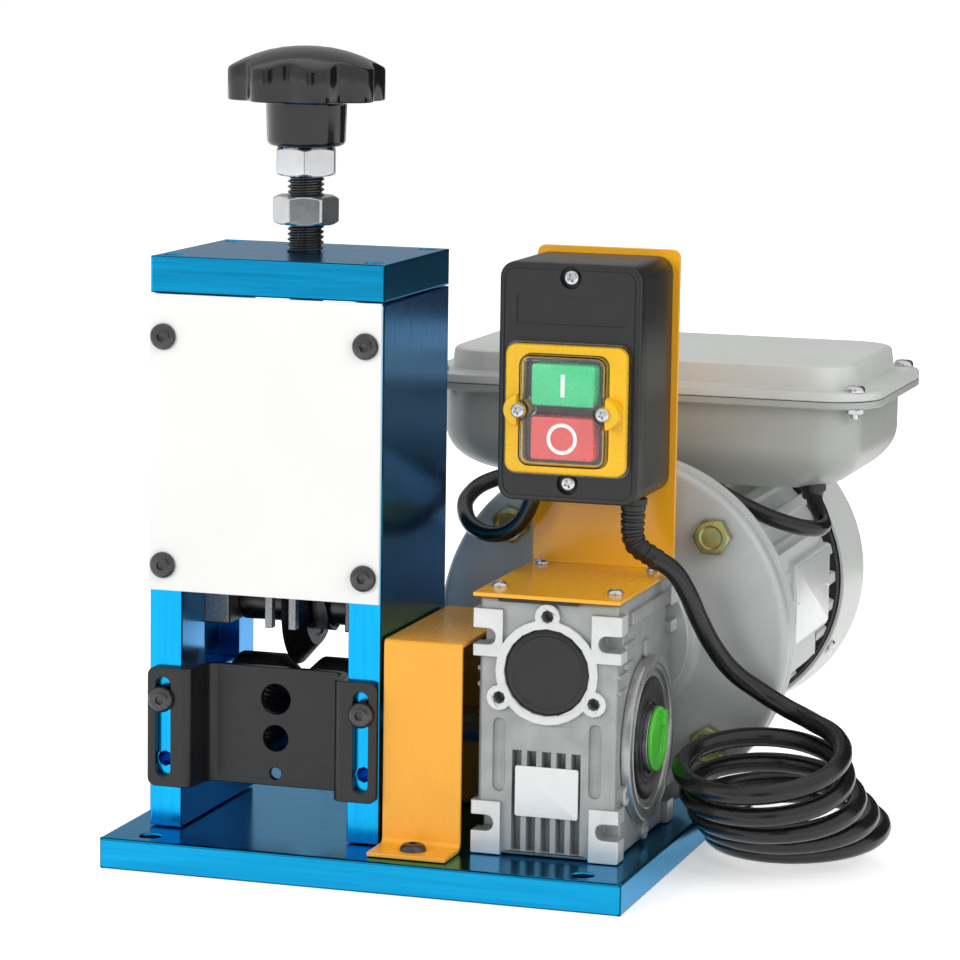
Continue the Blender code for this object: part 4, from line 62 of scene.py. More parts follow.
def addCamera():
    azimuth, elevation, roll = (math.radians(cameraSet[key]) for key in ("azimuth", "elevation", "roll"))
    back = Vector((math.sin(azimuth) * math.cos(elevation), -math.cos(azimuth) * math.cos(elevation),
                   math.sin(elevation)))
    level = Vector((math.cos(azimuth), math.sin(azimuth), 0))
    up = back.cross(level)
    across = level * math.cos(roll) + up * math.sin(roll)
    upright = up * math.cos(roll) - level * math.sin(roll)
    camera = bpy.data.objects.new("camera", bpy.data.cameras.new("camera"))
    scene.collection.objects.link(camera)
    camera.matrix_world = Matrix((across, upright, back)).transposed().to_4x4()
    camera.location = Vector(cameraSet["place"]) * mm
    camera.data.lens = cameraSet["lens"]
    camera.data.sensor_width = cameraSet["sensor"]
    camera.data.clip_end = 100
    scene.camera = camera


addCamera()


# Finishes

finishSet = {
    "blueBase": dict(colour=(0.008, 0.32, 0.62), rough=0.18, metal=1.0, tone=0.10, toneSize=1.6, grain=0.4,
                     bump=0.002, stretch=(0.03, 1, 1), tint=(0.70, 0.82, 0.90)),
    "blueTop": dict(colour=(0.008, 0.32, 0.62), rough=0.22, metal=1.0, tone=0.16, toneSize=2.2, grain=0.4,
                    bump=0.003, stretch=(0.03, 1, 1), tint=(0.70, 0.82, 0.90)),
    "blueUpright": dict(colour=(0.008, 0.38, 0.78), rough=0.20, metal=1.0, tone=0.08, toneSize=2.0,
                        grain=0.4, bump=0.002, stretch=(1, 1, 0.03), tint=(1.0, 0.72, 0.78)),
    "whiteSheet": dict(colour=(0.86, 0.86, 0.845), rough=0.42, tone=0.02, toneSize=60, grain=1.1,
                       bump=0.006),
    "blackOxide": dict(colour=(0.075, 0.075, 0.078), rough=0.28, metal=0.8, tone=0.2, toneSize=4, grain=0.4,
                       bump=0.004),
    "blackPaint": dict(colour=(0.007, 0.007, 0.0075), rough=0.32, tone=0.25, toneSize=12, grain=0.9,
                       bump=0.008),
    "orangePaint": dict(colour=(0.92, 0.42, 0.035), rough=0.30, tone=0.03, toneSize=25, grain=1.6,
                        bump=0.003),
    "amberPaint": dict(colour=(0.92, 0.43, 0.012), rough=0.24, tone=0.03, toneSize=25, grain=1.6,
                       bump=0.002, coat=0.3, coatRough=0.1),
    "blockGrey": dict(colour=(0.16, 0.165, 0.17), rough=0.42, metal=0.7, tone=0.25, toneSize=1.0, grain=0.4,
                      bump=0.010),
    "forkGrey": dict(colour=(0.30, 0.31, 0.315), rough=0.40, metal=0.7, tone=0.25, toneSize=0.8, grain=0.4,
                     bump=0.010),
    "darkSteel": dict(colour=(0.060, 0.060, 0.063), rough=0.26, metal=0.9, tone=0.2, toneSize=4, grain=0.3,
                      bump=0.003),
    "toolSteel": dict(colour=(0.42, 0.43, 0.45), rough=0.28, metal=0.95, tone=0.12, toneSize=5, grain=0.3,
                      bump=0.003),
    "brightZinc": dict(colour=(0.60, 0.61, 0.62), rough=0.20, metal=0.92, tone=0.06, toneSize=6, grain=0.5,
                       bump=0.003),
    "coverMetal": dict(colour=(0.42, 0.43, 0.42), rough=0.30, metal=0.75, tone=0.08, toneSize=6, grain=0.5,
                       bump=0.004),
    "bronze": dict(colour=(0.55, 0.34, 0.11), rough=0.32, metal=0.95, tone=0.15, toneSize=3, grain=0.4,
                   bump=0.004),
    "motorGrey": dict(colour=(0.52, 0.54, 0.53), rough=0.38, metal=0.0, tone=0.04, toneSize=20, grain=1.0,
                      bump=0.014),
    "tubGrey": dict(colour=(0.41, 0.425, 0.40), rough=0.34, metal=0.0, tone=0.04, toneSize=24, grain=1.2,
                    bump=0.012),
    "lidGrey": dict(colour=(0.62, 0.64, 0.62), rough=0.34, metal=0.0, tone=0.03, toneSize=30, grain=1.4,
                    bump=0.010),
    "flangeGrey": dict(colour=(0.48, 0.495, 0.49), rough=0.36, metal=0.1, tone=0.05, toneSize=14, grain=0.8,
                       bump=0.012),
    "namePlate": dict(colour=(0.78, 0.79, 0.79), rough=0.34, metal=0.5, tone=0.03, toneSize=5, grain=0.4,
                      bump=0.002),
    "plateWhite": dict(colour=(0.78, 0.79, 0.79), rough=0.36, metal=0.1, tone=0.02, toneSize=8, grain=0.5,
                       bump=0.002),
    "charcoalPlastic": dict(colour=(0.012, 0.0125, 0.013), rough=0.34, tone=0.12, toneSize=8, grain=0.5,
                            bump=0.012),
    "knobPlastic": dict(colour=(0.006, 0.006, 0.007), rough=0.13, tone=0.2, toneSize=12, grain=2.5,
                        bump=0.004),
    "yellowPlastic": dict(colour=(0.86, 0.49, 0.007), rough=0.28, tone=0.02, toneSize=16, grain=1.2,
                          bump=0.003),
    "greenPlastic": dict(colour=(0.030, 0.48, 0.19), rough=0.28, tone=0.05, toneSize=9, grain=1.0,
                         bump=0.005),
    "redPlastic": dict(colour=(0.58, 0.055, 0.050), rough=0.28, tone=0.05, toneSize=9, grain=1.0,
                       bump=0.005),
    "markWhite": dict(colour=(0.80, 0.78, 0.76), rough=0.35, tone=0.02, toneSize=4, grain=0.5, bump=0.002),
    "plugGreen": dict(colour=(0.085, 0.60, 0.045), rough=0.38, tone=0.08, toneSize=5, grain=0.7,
                      bump=0.010),
    "sealBlack": dict(colour=(0.010, 0.010, 0.011), rough=0.36, tone=0.2, toneSize=3, grain=0.5,
                      bump=0.006),
    "cordRubber": dict(colour=(0.006, 0.006, 0.007), rough=0.25, tone=0.2, toneSize=9, grain=0.9,
                       bump=0.004),
    "brassBlade": dict(colour=(0.72, 0.70, 0.66), rough=0.22, metal=0.95, tone=0.08, toneSize=4, grain=0.4,
                       bump=0.003),
}
finishes = {}


def addNoise(tree, size, stretch=(1, 1, 1), detail=3.0):
    place = tree.nodes.new("ShaderNodeTexCoord")
    mapping = tree.nodes.new("ShaderNodeMapping")
    mapping.inputs["Scale"].default_value = stretch
    noise = tree.nodes.new("ShaderNodeTexNoise")
    noise.inputs["Scale"].default_value = 1 / (size * mm)  # grains of this width
    noise.inputs["Detail"].default_value = detail
    tree.links.new(place.outputs["Object"], mapping.inputs["Vector"])
    tree.links.new(mapping.outputs["Vector"], noise.inputs["Vector"])
    return noise.outputs["Fac"]


def addRange(tree, value, low, high, start=0.3, end=0.7):  # noise lies mostly within this start and end
    spread = tree.nodes.new("ShaderNodeMapRange")
    spread.inputs["From Min"].default_value = start
    spread.inputs["From Max"].default_value = end
    spread.inputs["To Min"].default_value = low
    spread.inputs["To Max"].default_value = high
    tree.links.new(value, spread.inputs["Value"])
    return spread.outputs["Result"]


def addColourMix(tree, share, first, second):
    mixed = tree.nodes.new("ShaderNodeMix")
    mixed.data_type = "RGBA"
    tree.links.new(share, mixed.inputs[0])
    for socket, colour in ((mixed.inputs[6], first), (mixed.inputs[7], second)):
        if isinstance(colour, tuple):
            socket.default_value = (*colour, 1)
        else:
            tree.links.new(colour, socket)
    return mixed.outputs[2]


def addBump(tree, height, depth, shader):
    bump = tree.nodes.new("ShaderNodeBump")
    bump.inputs["Distance"].default_value = depth * mm
    tree.links.new(height, bump.inputs["Height"])
    tree.links.new(bump.outputs["Normal"], shader.inputs["Normal"])


def newMaterial(name):
    material = bpy.data.materials.new(name)
    material.use_nodes = True
    finishes[name] = material
    return material.node_tree, material.node_tree.nodes["Principled BSDF"]


def shaded(colour, share):
    return tuple(min(1.0, channel * share) for channel in colour)


def makeFinish(name, colour, rough, metal=0.0, tone=0.08, toneSize=30, spread=0.05, grain=0.6, bump=0.01,
               stretch=(1, 1, 1), coat=0.0, coatRough=0.1, tint=None):
    tree, shader = newMaterial(name)
    shader.inputs["Metallic"].default_value = metal
    shader.inputs["Coat Weight"].default_value = coat
    shader.inputs["Coat Roughness"].default_value = coatRough
    if tint:  # how a metal darkens at a low angle
        shader.inputs["Specular Tint"].default_value = (*tint, 1)
    broad = addNoise(tree, toneSize, stretch)
    fine = addNoise(tree, grain, stretch, 4)
    share = addRange(tree, broad, 0, 1)
    tree.links.new(addColourMix(tree, share, shaded(colour, 1 - tone), shaded(colour, 1 + tone)),
                   shader.inputs["Base Color"])
    tree.links.new(addRange(tree, fine, rough - spread, rough + spread), shader.inputs["Roughness"])
    addBump(tree, fine, bump, shader)


castSet = {
    "blasted": (0.36, 0.375, 0.37), "machined": (0.66, 0.67, 0.67), "blastedRough": 0.44,
    "machinedRough": 0.30, "frontY": -57.8, "rightX": 93.1, "leftX": 36.4, "topZ": 109.0, "grain": 0.55,
    "depth": 0.05,
}


def makeCastFinish():
    # grey blasted skin, with the faces that a cutter has passed left bright
    s = castSet
    tree, shader = newMaterial("castAluminium")
    shader.inputs["Metallic"].default_value = 0.35
    place = tree.nodes.new("ShaderNodeTexCoord")
    parts = tree.nodes.new("ShaderNodeSeparateXYZ")
    tree.links.new(place.outputs["Object"], parts.inputs["Vector"])
    marks = []
    for axis, kind, limit in (("Y", "LESS_THAN", s["frontY"]), ("X", "GREATER_THAN", s["rightX"]),
                              ("X", "LESS_THAN", s["leftX"]), ("Z", "GREATER_THAN", s["topZ"])):
        test = tree.nodes.new("ShaderNodeMath")
        test.operation = kind
        test.inputs[1].default_value = limit * mm
        tree.links.new(parts.outputs[axis], test.inputs[0])
        marks.append(test.outputs[0])
    mark = marks[0]
    for other in marks[1:]:
        either = tree.nodes.new("ShaderNodeMath")
        either.operation = "MAXIMUM"
        tree.links.new(mark, either.inputs[0])
        tree.links.new(other, either.inputs[1])
        mark = either.outputs[0]
    fine = addNoise(tree, s["grain"], detail=5)
    broad = addNoise(tree, 9)
    tone = addRange(tree, broad, 0, 1)
    skin = addColourMix(tree, tone, shaded(s["blasted"], 0.88), shaded(s["blasted"], 1.12))
    cut = addColourMix(tree, tone, shaded(s["machined"], 0.94), shaded(s["machined"], 1.06))
    tree.links.new(addColourMix(tree, mark, skin, cut), shader.inputs["Base Color"])
    tree.links.new(addRange(tree, mark, s["blastedRough"], s["machinedRough"], 0, 1),
                   shader.inputs["Roughness"])
    calm = tree.nodes.new("ShaderNodeMath")
    calm.operation = "MULTIPLY"
    tree.links.new(fine, calm.inputs[0])
    tree.links.new(addRange(tree, mark, 1, 0.08, 0, 1), calm.inputs[1])
    addBump(tree, calm.outputs[0], s["depth"], shader)


zincSet = {"hues": ((0.30, 0.30, 0.13), (0.45, 0.36, 0.12), (0.24, 0.34, 0.16), (0.42, 0.28, 0.20)),
           "patch": 5.0}


def makeOliveFinish():
    # chromated zinc, whose film shifts from olive to gold
    tree, shader = newMaterial("oliveZinc")
    shader.inputs["Metallic"].default_value = 0.85
    ramp = tree.nodes.new("ShaderNodeValToRGB")
    hues = zincSet["hues"]
    ramp.color_ramp.elements[0].position = 0.32
    ramp.color_ramp.elements[0].color = (*hues[0], 1)
    ramp.color_ramp.elements[1].position = 0.68
    ramp.color_ramp.elements[1].color = (*hues[-1], 1)
    for place, hue in ((0.45, hues[1]), (0.56, hues[2])):
        ramp.color_ramp.elements.new(place).color = (*hue, 1)
    tree.links.new(addNoise(tree, zincSet["patch"]), ramp.inputs["Fac"])
    tree.links.new(ramp.outputs["Color"], shader.inputs["Base Color"])
    fine = addNoise(tree, 0.6, detail=4)
    tree.links.new(addRange(tree, fine, 0.26, 0.38), shader.inputs["Roughness"])
    addBump(tree, fine, 0.006, shader)


def makeClearFinish():
    # clear moulded cover; rays from the lamps pass it, so what is under it stays lit
    tree, shader = newMaterial("clearPlastic")
    shader.inputs["Base Color"].default_value = (0.96, 0.97, 0.97, 1)
    shader.inputs["Transmission Weight"].default_value = 1.0
    shader.inputs["IOR"].default_value = 1.46
    fine = addNoise(tree, 6)
    tree.links.new(addRange(tree, fine, 0.015, 0.05), shader.inputs["Roughness"])
    rays = tree.nodes.new("ShaderNodeLightPath")
    through = tree.nodes.new("ShaderNodeBsdfTransparent")
    choice = tree.nodes.new("ShaderNodeMixShader")
    output = next(node for node in tree.nodes if node.type == "OUTPUT_MATERIAL")
    tree.links.new(rays.outputs["Is Shadow Ray"], choice.inputs[0])
    tree.links.new(shader.outputs["BSDF"], choice.inputs[1])
    tree.links.new(through.outputs["BSDF"], choice.inputs[2])
    tree.links.new(choice.outputs["Shader"], output.inputs["Surface"])


for finishName, values in finishSet.items():
    makeFinish(finishName, **values)
makeCastFinish()
makeOliveFinish()
makeClearFinish()
print("finishes made,", len(finishes))


# Shapes

placers = {
    "X": lambda along, u, v: (along, u, v),
    "Y": lambda along, u, v: (u, along, v),
    "Z": lambda along, u, v: (u, v, along),
}

# distances in millimetres, then angles in degrees
meshSet = {"join": 0.002, "weld": 0.01, "flat": 0.4, "sharp": 32, "edge": 30}


def atAngle(value, angle):
    return value(angle) if callable(value) else value


def joinLoops(shape, loops, closed):
    pairs = list(zip(loops, loops[1:]))
    if closed:
        pairs.append((loops[-1], loops[0]))
    for first, second in pairs:
        count = max(len(first), len(second))
        for n in range(count if count > 1 else 0):
            corners = dict.fromkeys((
                first[n % len(first)], first[(n + 1) % len(first)],
                second[(n + 1) % len(second)], second[n % len(second)],
            ))
            shape.faces.new(corners)
    if not closed:
        for loop in (loops[0], loops[-1]):
            if len(loop) > 2:
                shape.faces.new(loop)
    return shape


def turnedShape(rings, axis="Z", centre=(0, 0), segments=96, closed=False):
    # rings of (along, radius) round an axis; either may change with the angle
    shape = bmesh.new()
    put = placers[axis]
    loops = []
    for along, radius in rings:
        loop = []
        for n in range(1 if radius == 0 else segments):
            angle = tau * n / segments
            reach = atAngle(radius, angle)
            u = centre[0] + reach * math.cos(angle)
            v = centre[1] + reach * math.sin(angle)
            loop.append(shape.verts.new(put(atAngle(along, angle), u, v)))
        loops.append(loop)
    return joinLoops(shape, loops, closed)


def loftShape(sections, closed=False):
    shape = bmesh.new()
    return joinLoops(shape, [[shape.verts.new(point) for point in section] for section in sections], closed)


def roundedRect(halfU, halfV, corner, centre=(0, 0), steps=6):
    points = []
    for k, (sideU, sideV) in enumerate(((1, 1), (-1, 1), (-1, -1), (1, -1))):
        for n in range(steps + 1):
            angle = tau / 4 * (k + n / steps)
            points.append((
                centre[0] + sideU * (halfU - corner) + corner * math.cos(angle),
                centre[1] + sideV * (halfV - corner) + corner * math.sin(angle),
            ))
    return points


def prismShape(outline, start, end, axis):
    put = placers[axis]
    return loftShape([[put(along, u, v) for u, v in outline] for along in (start, end)])


def softSlab(half, corner, start, end, edge, axis, centre=(0, 0), steps=4, corners=6):
    # a rounded block whose edge at start is rounded over
    put = placers[axis]
    sign = 1 if end > start else -1
    sections = []
    for n in range(steps + 1):
        angle = tau / 4 * n / steps
        inset = edge * (1 - math.sin(angle))
        along = start + sign * edge * (1 - math.cos(angle))
        outline = roundedRect(half[0] - inset, half[1] - inset, max(0.05, corner - inset), centre, corners)
        sections.append([put(along, u, v) for u, v in outline])
    sections.append([put(end, u, v) for u, v in roundedRect(*half, corner, centre, corners)])
    return loftShape(sections)


def bentOutline(path, radius, thickness, steps=6):
    # the outline of a bent sheet that lies to the right of its outer line
    line = [Vector(path[0])]
    for before, corner, after in zip(path, path[1:], path[2:]):
        corner = Vector(corner)
        back = (Vector(before) - corner).normalized()
        ahead = (Vector(after) - corner).normalized()
        half = back.angle(ahead) / 2
        middle = corner + (back + ahead).normalized() * radius / math.sin(half)
        first = corner + back * radius / math.tan(half) - middle
        last = corner + ahead * radius / math.tan(half) - middle
        line += [middle + first.slerp(last, n / steps).normalized() * radius for n in range(steps + 1)]
    line.append(Vector(path[-1]))
    inner = []
    for n, point in enumerate(line):
        before = (point - line[n - 1]).normalized() if n else (line[1] - point).normalized()
        after = (line[n + 1] - point).normalized() if n < len(line) - 1 else before
        aside = Vector((before.y, -before.x))
        middle = (aside + Vector((after.y, -after.x))).normalized()
        inner.append(point + middle * thickness / middle.dot(aside))
    return [tuple(point) for point in line + inner[::-1]]


def blockShape(low, high):
    outline = [(low[0], low[1]), (high[0], low[1]), (high[0], high[1]), (low[0], high[1])]
    return prismShape(outline, low[2], high[2], "Z")


def aimed(shape, place, direction=(0, 0, 1), spin=0.0):
    turned = Vector((0, 0, 1)).rotation_difference(Vector(direction)).to_matrix().to_4x4()
    matrix = Matrix.Translation(place) @ turned @ Matrix.Rotation(spin, 4, "Z")
    bmesh.ops.transform(shape, matrix=matrix, verts=shape.verts)
    return shape


def together(shapes):
    whole = bmesh.new()
    for shape in shapes:
        mesh = bpy.data.meshes.new("part")
        shape.to_mesh(mesh)
        shape.free()
        whole.from_mesh(mesh)
        bpy.data.meshes.remove(mesh)
    return whole


def looseObject(shape):
    bmesh.ops.recalc_face_normals(shape, faces=shape.faces)
    mesh = bpy.data.meshes.new("loose")
    shape.to_mesh(mesh)
    shape.free()
    obj = bpy.data.objects.new("loose", mesh)
    scene.collection.objects.link(obj)
    return obj


def combined(shape, others, operation="DIFFERENCE"):
    base = looseObject(shape)
    tools = [looseObject(other) for other in others]
    for tool in tools:
        change = base.modifiers.new("change", "BOOLEAN")
        change.operation = operation
        change.solver = "EXACT"
        change.object = tool
    bpy.context.view_layer.update()
    evaluated = base.evaluated_get(bpy.context.evaluated_depsgraph_get())
    result = bmesh.new()
    result.from_mesh(evaluated.to_mesh())
    evaluated.to_mesh_clear()
    for obj in [base, *tools]:
        mesh = obj.data
        bpy.data.objects.remove(obj)
        bpy.data.meshes.remove(mesh)
    return result


def meshPiece(name, shape, finish, body="frame", stands=(), angle=meshSet["sharp"], bevel=0.0,
              bevelAngle=meshSet["edge"]):
    bmesh.ops.remove_doubles(shape, verts=shape.verts, dist=meshSet["join"])
    bmesh.ops.recalc_face_normals(shape, faces=shape.faces)
    bmesh.ops.scale(shape, vec=(mm, mm, mm), verts=shape.verts)
    mesh = bpy.data.meshes.new(name)
    shape.to_mesh(mesh)
    shape.free()
    mesh.shade_smooth()
    mesh.materials.append(finishes[finish])
    obj = bpy.data.objects.new(name, mesh)
    scene.collection.objects.link(obj)
    if bevel:
        softenEdges(obj, bevel, bevelAngle)
    else:
        mesh.set_sharp_from_angle(angle=math.radians(angle))
    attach(obj, bodyOf.get(body, body))
    if stands:
        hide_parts(*stands)
    return obj


def softenEdges(obj, width, angle=meshSet["edge"], segments=2):
    edge = obj.modifiers.new("edge", "BEVEL")
    edge.width = width * mm
    edge.segments = segments
    edge.limit_method = "ANGLE"
    edge.angle_limit = math.radians(angle)
    edge.use_clamp_overlap = False
    obj.modifiers.new("shade", "WEIGHTED_NORMAL").keep_sharp = False


def keptNode(name, finish, bevel=0.0, angle=meshSet["edge"], merge=True):
    # a node whose own shape is right: its finish, welded facets and softened edges
    obj = nodes[name]
    for slot in obj.material_slots:
        slot.material = finishes[finish]
    if bevel:
        obj.data.shade_smooth()
        obj.modifiers.new("weld", "WELD").merge_threshold = meshSet["weld"] * mm
        if merge:
            flat = obj.modifiers.new("flat", "DECIMATE")
            flat.decimate_type = "DISSOLVE"
            flat.angle_limit = math.radians(meshSet["flat"])
        softenEdges(obj, bevel, angle)
    return obj


# Cords

leadSet = {
    "radius": 3.25,
    "route": (
        (130.0, 88.0, 140.5), (131.2, 85.8, 131.5), (135.6, 80.0, 124.8), (138.0, 71.5, 122.2),
        (134.5, 63.5, 122.5), (126.0, 58.5, 125.0), (114.0, 56.5, 129.5), (101.0, 56.0, 135.5),
        (85.0, 56.0, 143.0), (64.8, 56.0, 147.0), (44.0, 56.0, 144.0), (25.0, 53.5, 140.0),
        (12.0, 45.0, 137.5), (6.0, 32.5, 133.2), (8.0, 19.5, 127.5), (15.0, 11.5, 122.8),
        (24.0, 7.5, 121.8), (32.2, 5.5, 125.2), (37.8, 5.0, 132.5), (40.0, 5.0, 141.0),
        (40.0, 5.0, 150.0),
    ),
}
cordSet = {
    "radius": 3.7,
    "exit": (83.0, -8.0, 141.5),
    "drop": (
        (83.0, -8.0, 135.2), (83.0, -8.0, 128.9), (84.6, -7.8, 123.6), (90.8, -6.4, 119.2),
        (97.7, -3.8, 114.4), (102.7, -0.5, 105.8), (106.6, 4.0, 94.5), (111.2, 9.2, 83.5),
        (117.8, 15.0, 73.2), (126.8, 20.3, 65.5), (137.0, 20.6, 59.8),
    ),
    # each loop's middle, half length, half depth and slope up towards the back
    "loops": (
        (134.8, -11.0, 49.4, 31.0, 30.0, 14.3), (136.8, -11.0, 40.4, 30.0, 30.0, 13.7),
        (139.0, -5.0, 30.7, 31.0, 31.0, 10.2), (140.0, 10.0, 21.7, 32.0, 33.0, 7.1),
        (140.5, 24.0, 14.7, 33.0, 35.0, 3.9), (141.5, 40.0, 4.2, 34.0, 37.0, 0.5),
    ),
    "startAngle": 60, "endAngle": 180, "pointsInTurn": 24,
    "tail": (
        (106.8, 56.0, 5.5), (106.5, 70.0, 4.2), (106.5, 83.0, 4.0), (97.7, 103.2, 4.0), (76.5, 112.0, 4.0),
        (50.0, 110.5, 4.0), (25.0, 106.0, 4.0),
    ),
    "stored": {"centre": (0.0, 150.0), "radius": 46.0, "pitchIn": 8.2, "pitchOut": 9.5, "low": 4.0,
               "layer": 8.0, "turnsIn": 2, "climb": 0.5, "turns": 3},
    "plugStart": (-33.7, 12.0),
}


def openLoops():
    s = cordSet
    rows = s["loops"]
    turns = len(rows) - 1 - (s["endAngle"] - s["startAngle"]) / 360
    count = round(turns * s["pointsInTurn"])
    loops = []
    for n in range(count + 1):
        turn = turns * n / count
        row = min(int(turn), len(rows) - 2)
        share = turn - row
        x, y, z, halfX, halfY, slope = (a + (b - a) * share for a, b in zip(rows[row], rows[row + 1]))
        angle = math.radians(s["startAngle"]) - tau * turn
        back = halfY * math.sin(angle)
        slope = math.radians(slope)
        loops.append(Vector((x + halfX * math.cos(angle), y + back * math.cos(slope),
                             z + back * math.sin(slope))))
    return loops


def storedLoops():
    s = cordSet["stored"]
    count = s["turns"] * cordSet["pointsInTurn"]
    loops = []
    for n in range(count + 1):
        turn = s["turns"] * n / count
        climb = min(max(turn - s["turnsIn"] + s["climb"] / 2, 0), s["climb"])
        woundOut = max(turn - s["turnsIn"] - s["climb"] / 2, 0)
        radius = s["radius"] - s["pitchIn"] * min(turn, s["turnsIn"]) + s["pitchOut"] * woundOut
        angle = -tau / 4 - tau * turn
        rise = s["layer"] * (1 - math.cos(math.pi * climb / s["climb"])) / 2
        loops.append(Vector((s["centre"][0] + radius * math.cos(angle),
                             s["centre"][1] + radius * math.sin(angle), s["low"] + rise)))
    return loops


def cordRoute():
    loops = openLoops()
    stored = storedLoops()
    leadIn = loops[0] + (loops[0] - loops[1]).normalized() * 2 * cordSet["radius"]
    end = Vector((cordSet["plugStart"][0], stored[-1].y, cordSet["plugStart"][1]))
    straight = [stored[-1].lerp(end, share) for share in (0.35, 0.7)] + [end]
    points = [Vector(cordSet["exit"])] + [Vector(point) for point in cordSet["drop"]] + [leadIn] + loops
    return points + [Vector(point) for point in cordSet["tail"]] + stored + straight


def curvePiece(name, points, radius, finish, stands):
    curve = bpy.data.curves.new(name, "CURVE")
    curve.dimensions = "3D"
    curve.resolution_u = 6
    curve.bevel_depth = 1.0  # each point holds the radius instead, which keeps the box true
    curve.bevel_resolution = 4
    curve.use_fill_caps = True
    spline = curve.splines.new("BEZIER")
    spline.bezier_points.add(len(points) - 1)
    for spot, point in zip(spline.bezier_points, points):
        spot.co = Vector(point) * mm
        spot.handle_left_type = spot.handle_right_type = "AUTO"
        spot.radius = radius * mm
    curve.materials.append(finishes[finish])
    obj = bpy.data.objects.new(name, curve)
    scene.collection.objects.link(obj)
    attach(obj, "frame")
    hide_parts(*stands)
    return obj


def curveLength(obj):
    bevel, obj.data.bevel_depth = obj.data.bevel_depth, 0
    bpy.context.view_layer.update()
    evaluated = obj.evaluated_get(bpy.context.evaluated_depsgraph_get())
    mesh = evaluated.to_mesh()
    length = sum((mesh.vertices[a].co - mesh.vertices[b].co).length
                 for a, b in (edge.vertices for edge in mesh.edges))
    evaluated.to_mesh_clear()
    obj.data.bevel_depth = bevel
    bpy.context.view_layer.update()
    return length


def sweptShape(points, radii, segments=40):
    # a tube along points, with a radius at each
    shape = bmesh.new()
    loops = []
    side = None
    for n, point in enumerate(points):
        ahead = (points[min(n + 1, len(points) - 1)] - points[max(n - 1, 0)]).normalized()
        if side is None:
            side = ahead.orthogonal().normalized()
        side = (side - ahead * side.dot(ahead)).normalized()
        other = ahead.cross(side)
        loop = []
        for k in range(segments):
            angle = tau * k / segments
            reach = (side * math.cos(angle) + other * math.sin(angle)) * radii[n]
            loop.append(shape.verts.new(point + reach))
        loops.append(loop)
    return joinLoops(shape, loops, False)


reliefSet = {
    "length": 29.0, "collar": 5.3, "collarShare": 0.08, "start": 4.9, "end": 4.0, "overCord": 0.12,
    # grooves in the whole length, the stretch of it that has them, and where in its pitch each begins
    "grooves": 10.08, "grooved": (0.16, 0.94), "grooveFrom": 0.55, "grooveDepth": 0.45,
}


def evenAlong(points, length, step):
    # even points on the first stretch of a smooth line through the route
    fine = []
    for n in range(len(points) - 1):
        before = points[n - 1] if n else points[0] * 2 - points[1]
        after = points[n + 2] if n + 2 < len(points) else points[-1] * 2 - points[-2]
        for k in range(30):
            t = k / 30
            fine.append((
                points[n] * 2 + (points[n + 1] - before) * t
                + (before * 2 - points[n] * 5 + points[n + 1] * 4 - after) * t**2
                + (points[n] * 3 - before - points[n + 1] * 3 + after) * t**3
            ) / 2)
    even = [fine[0]]
    run = 0.0
    for first, second in zip(fine, fine[1:]):
        run += (second - first).length
        if run >= step * len(even):
            even.append(second)
        if run >= length:
            break
    return even


def makeRelief():
    s = reliefSet
    step = 0.4
    points = evenAlong([Vector(cordSet["exit"])] + [Vector(p) for p in cordSet["drop"]], s["length"],
                       step)
    radii = []
    for n in range(len(points)):
        share = n / (len(points) - 1)
        radius = s["start"] + (s["end"] - s["start"]) * share
        first, last = s["grooved"]
        if first < share < last and share * s["grooves"] % 1 > s["grooveFrom"]:
            radius -= s["grooveDepth"]
        if share < s["collarShare"]:
            radius = s["collar"]
        radii.append(max(radius, cordSet["radius"] + s["overCord"]))
    radii[-1] = cordSet["radius"] + 0.1
    return meshPiece("strainRelief", sweptShape(points, radii), "sealBlack", stands=["cord_gland"])


plugSet = {
    "bodyStart": -49.0, "halfWidth": 12.9, "halfHeight": 11.8, "reliefStart": -34.2, "reliefRadius": 6.0,
    "reliefEnd": 4.5, "ribs": 4, "bladeTip": -98.8, "bladeOffset": 6.5, "bladeHalf": 3.1,
    "bladeThick": 0.8, "bladeRoot": -79.5, "grips": 5, "gripStart": -59.0, "gripPitch": 2.1,
}


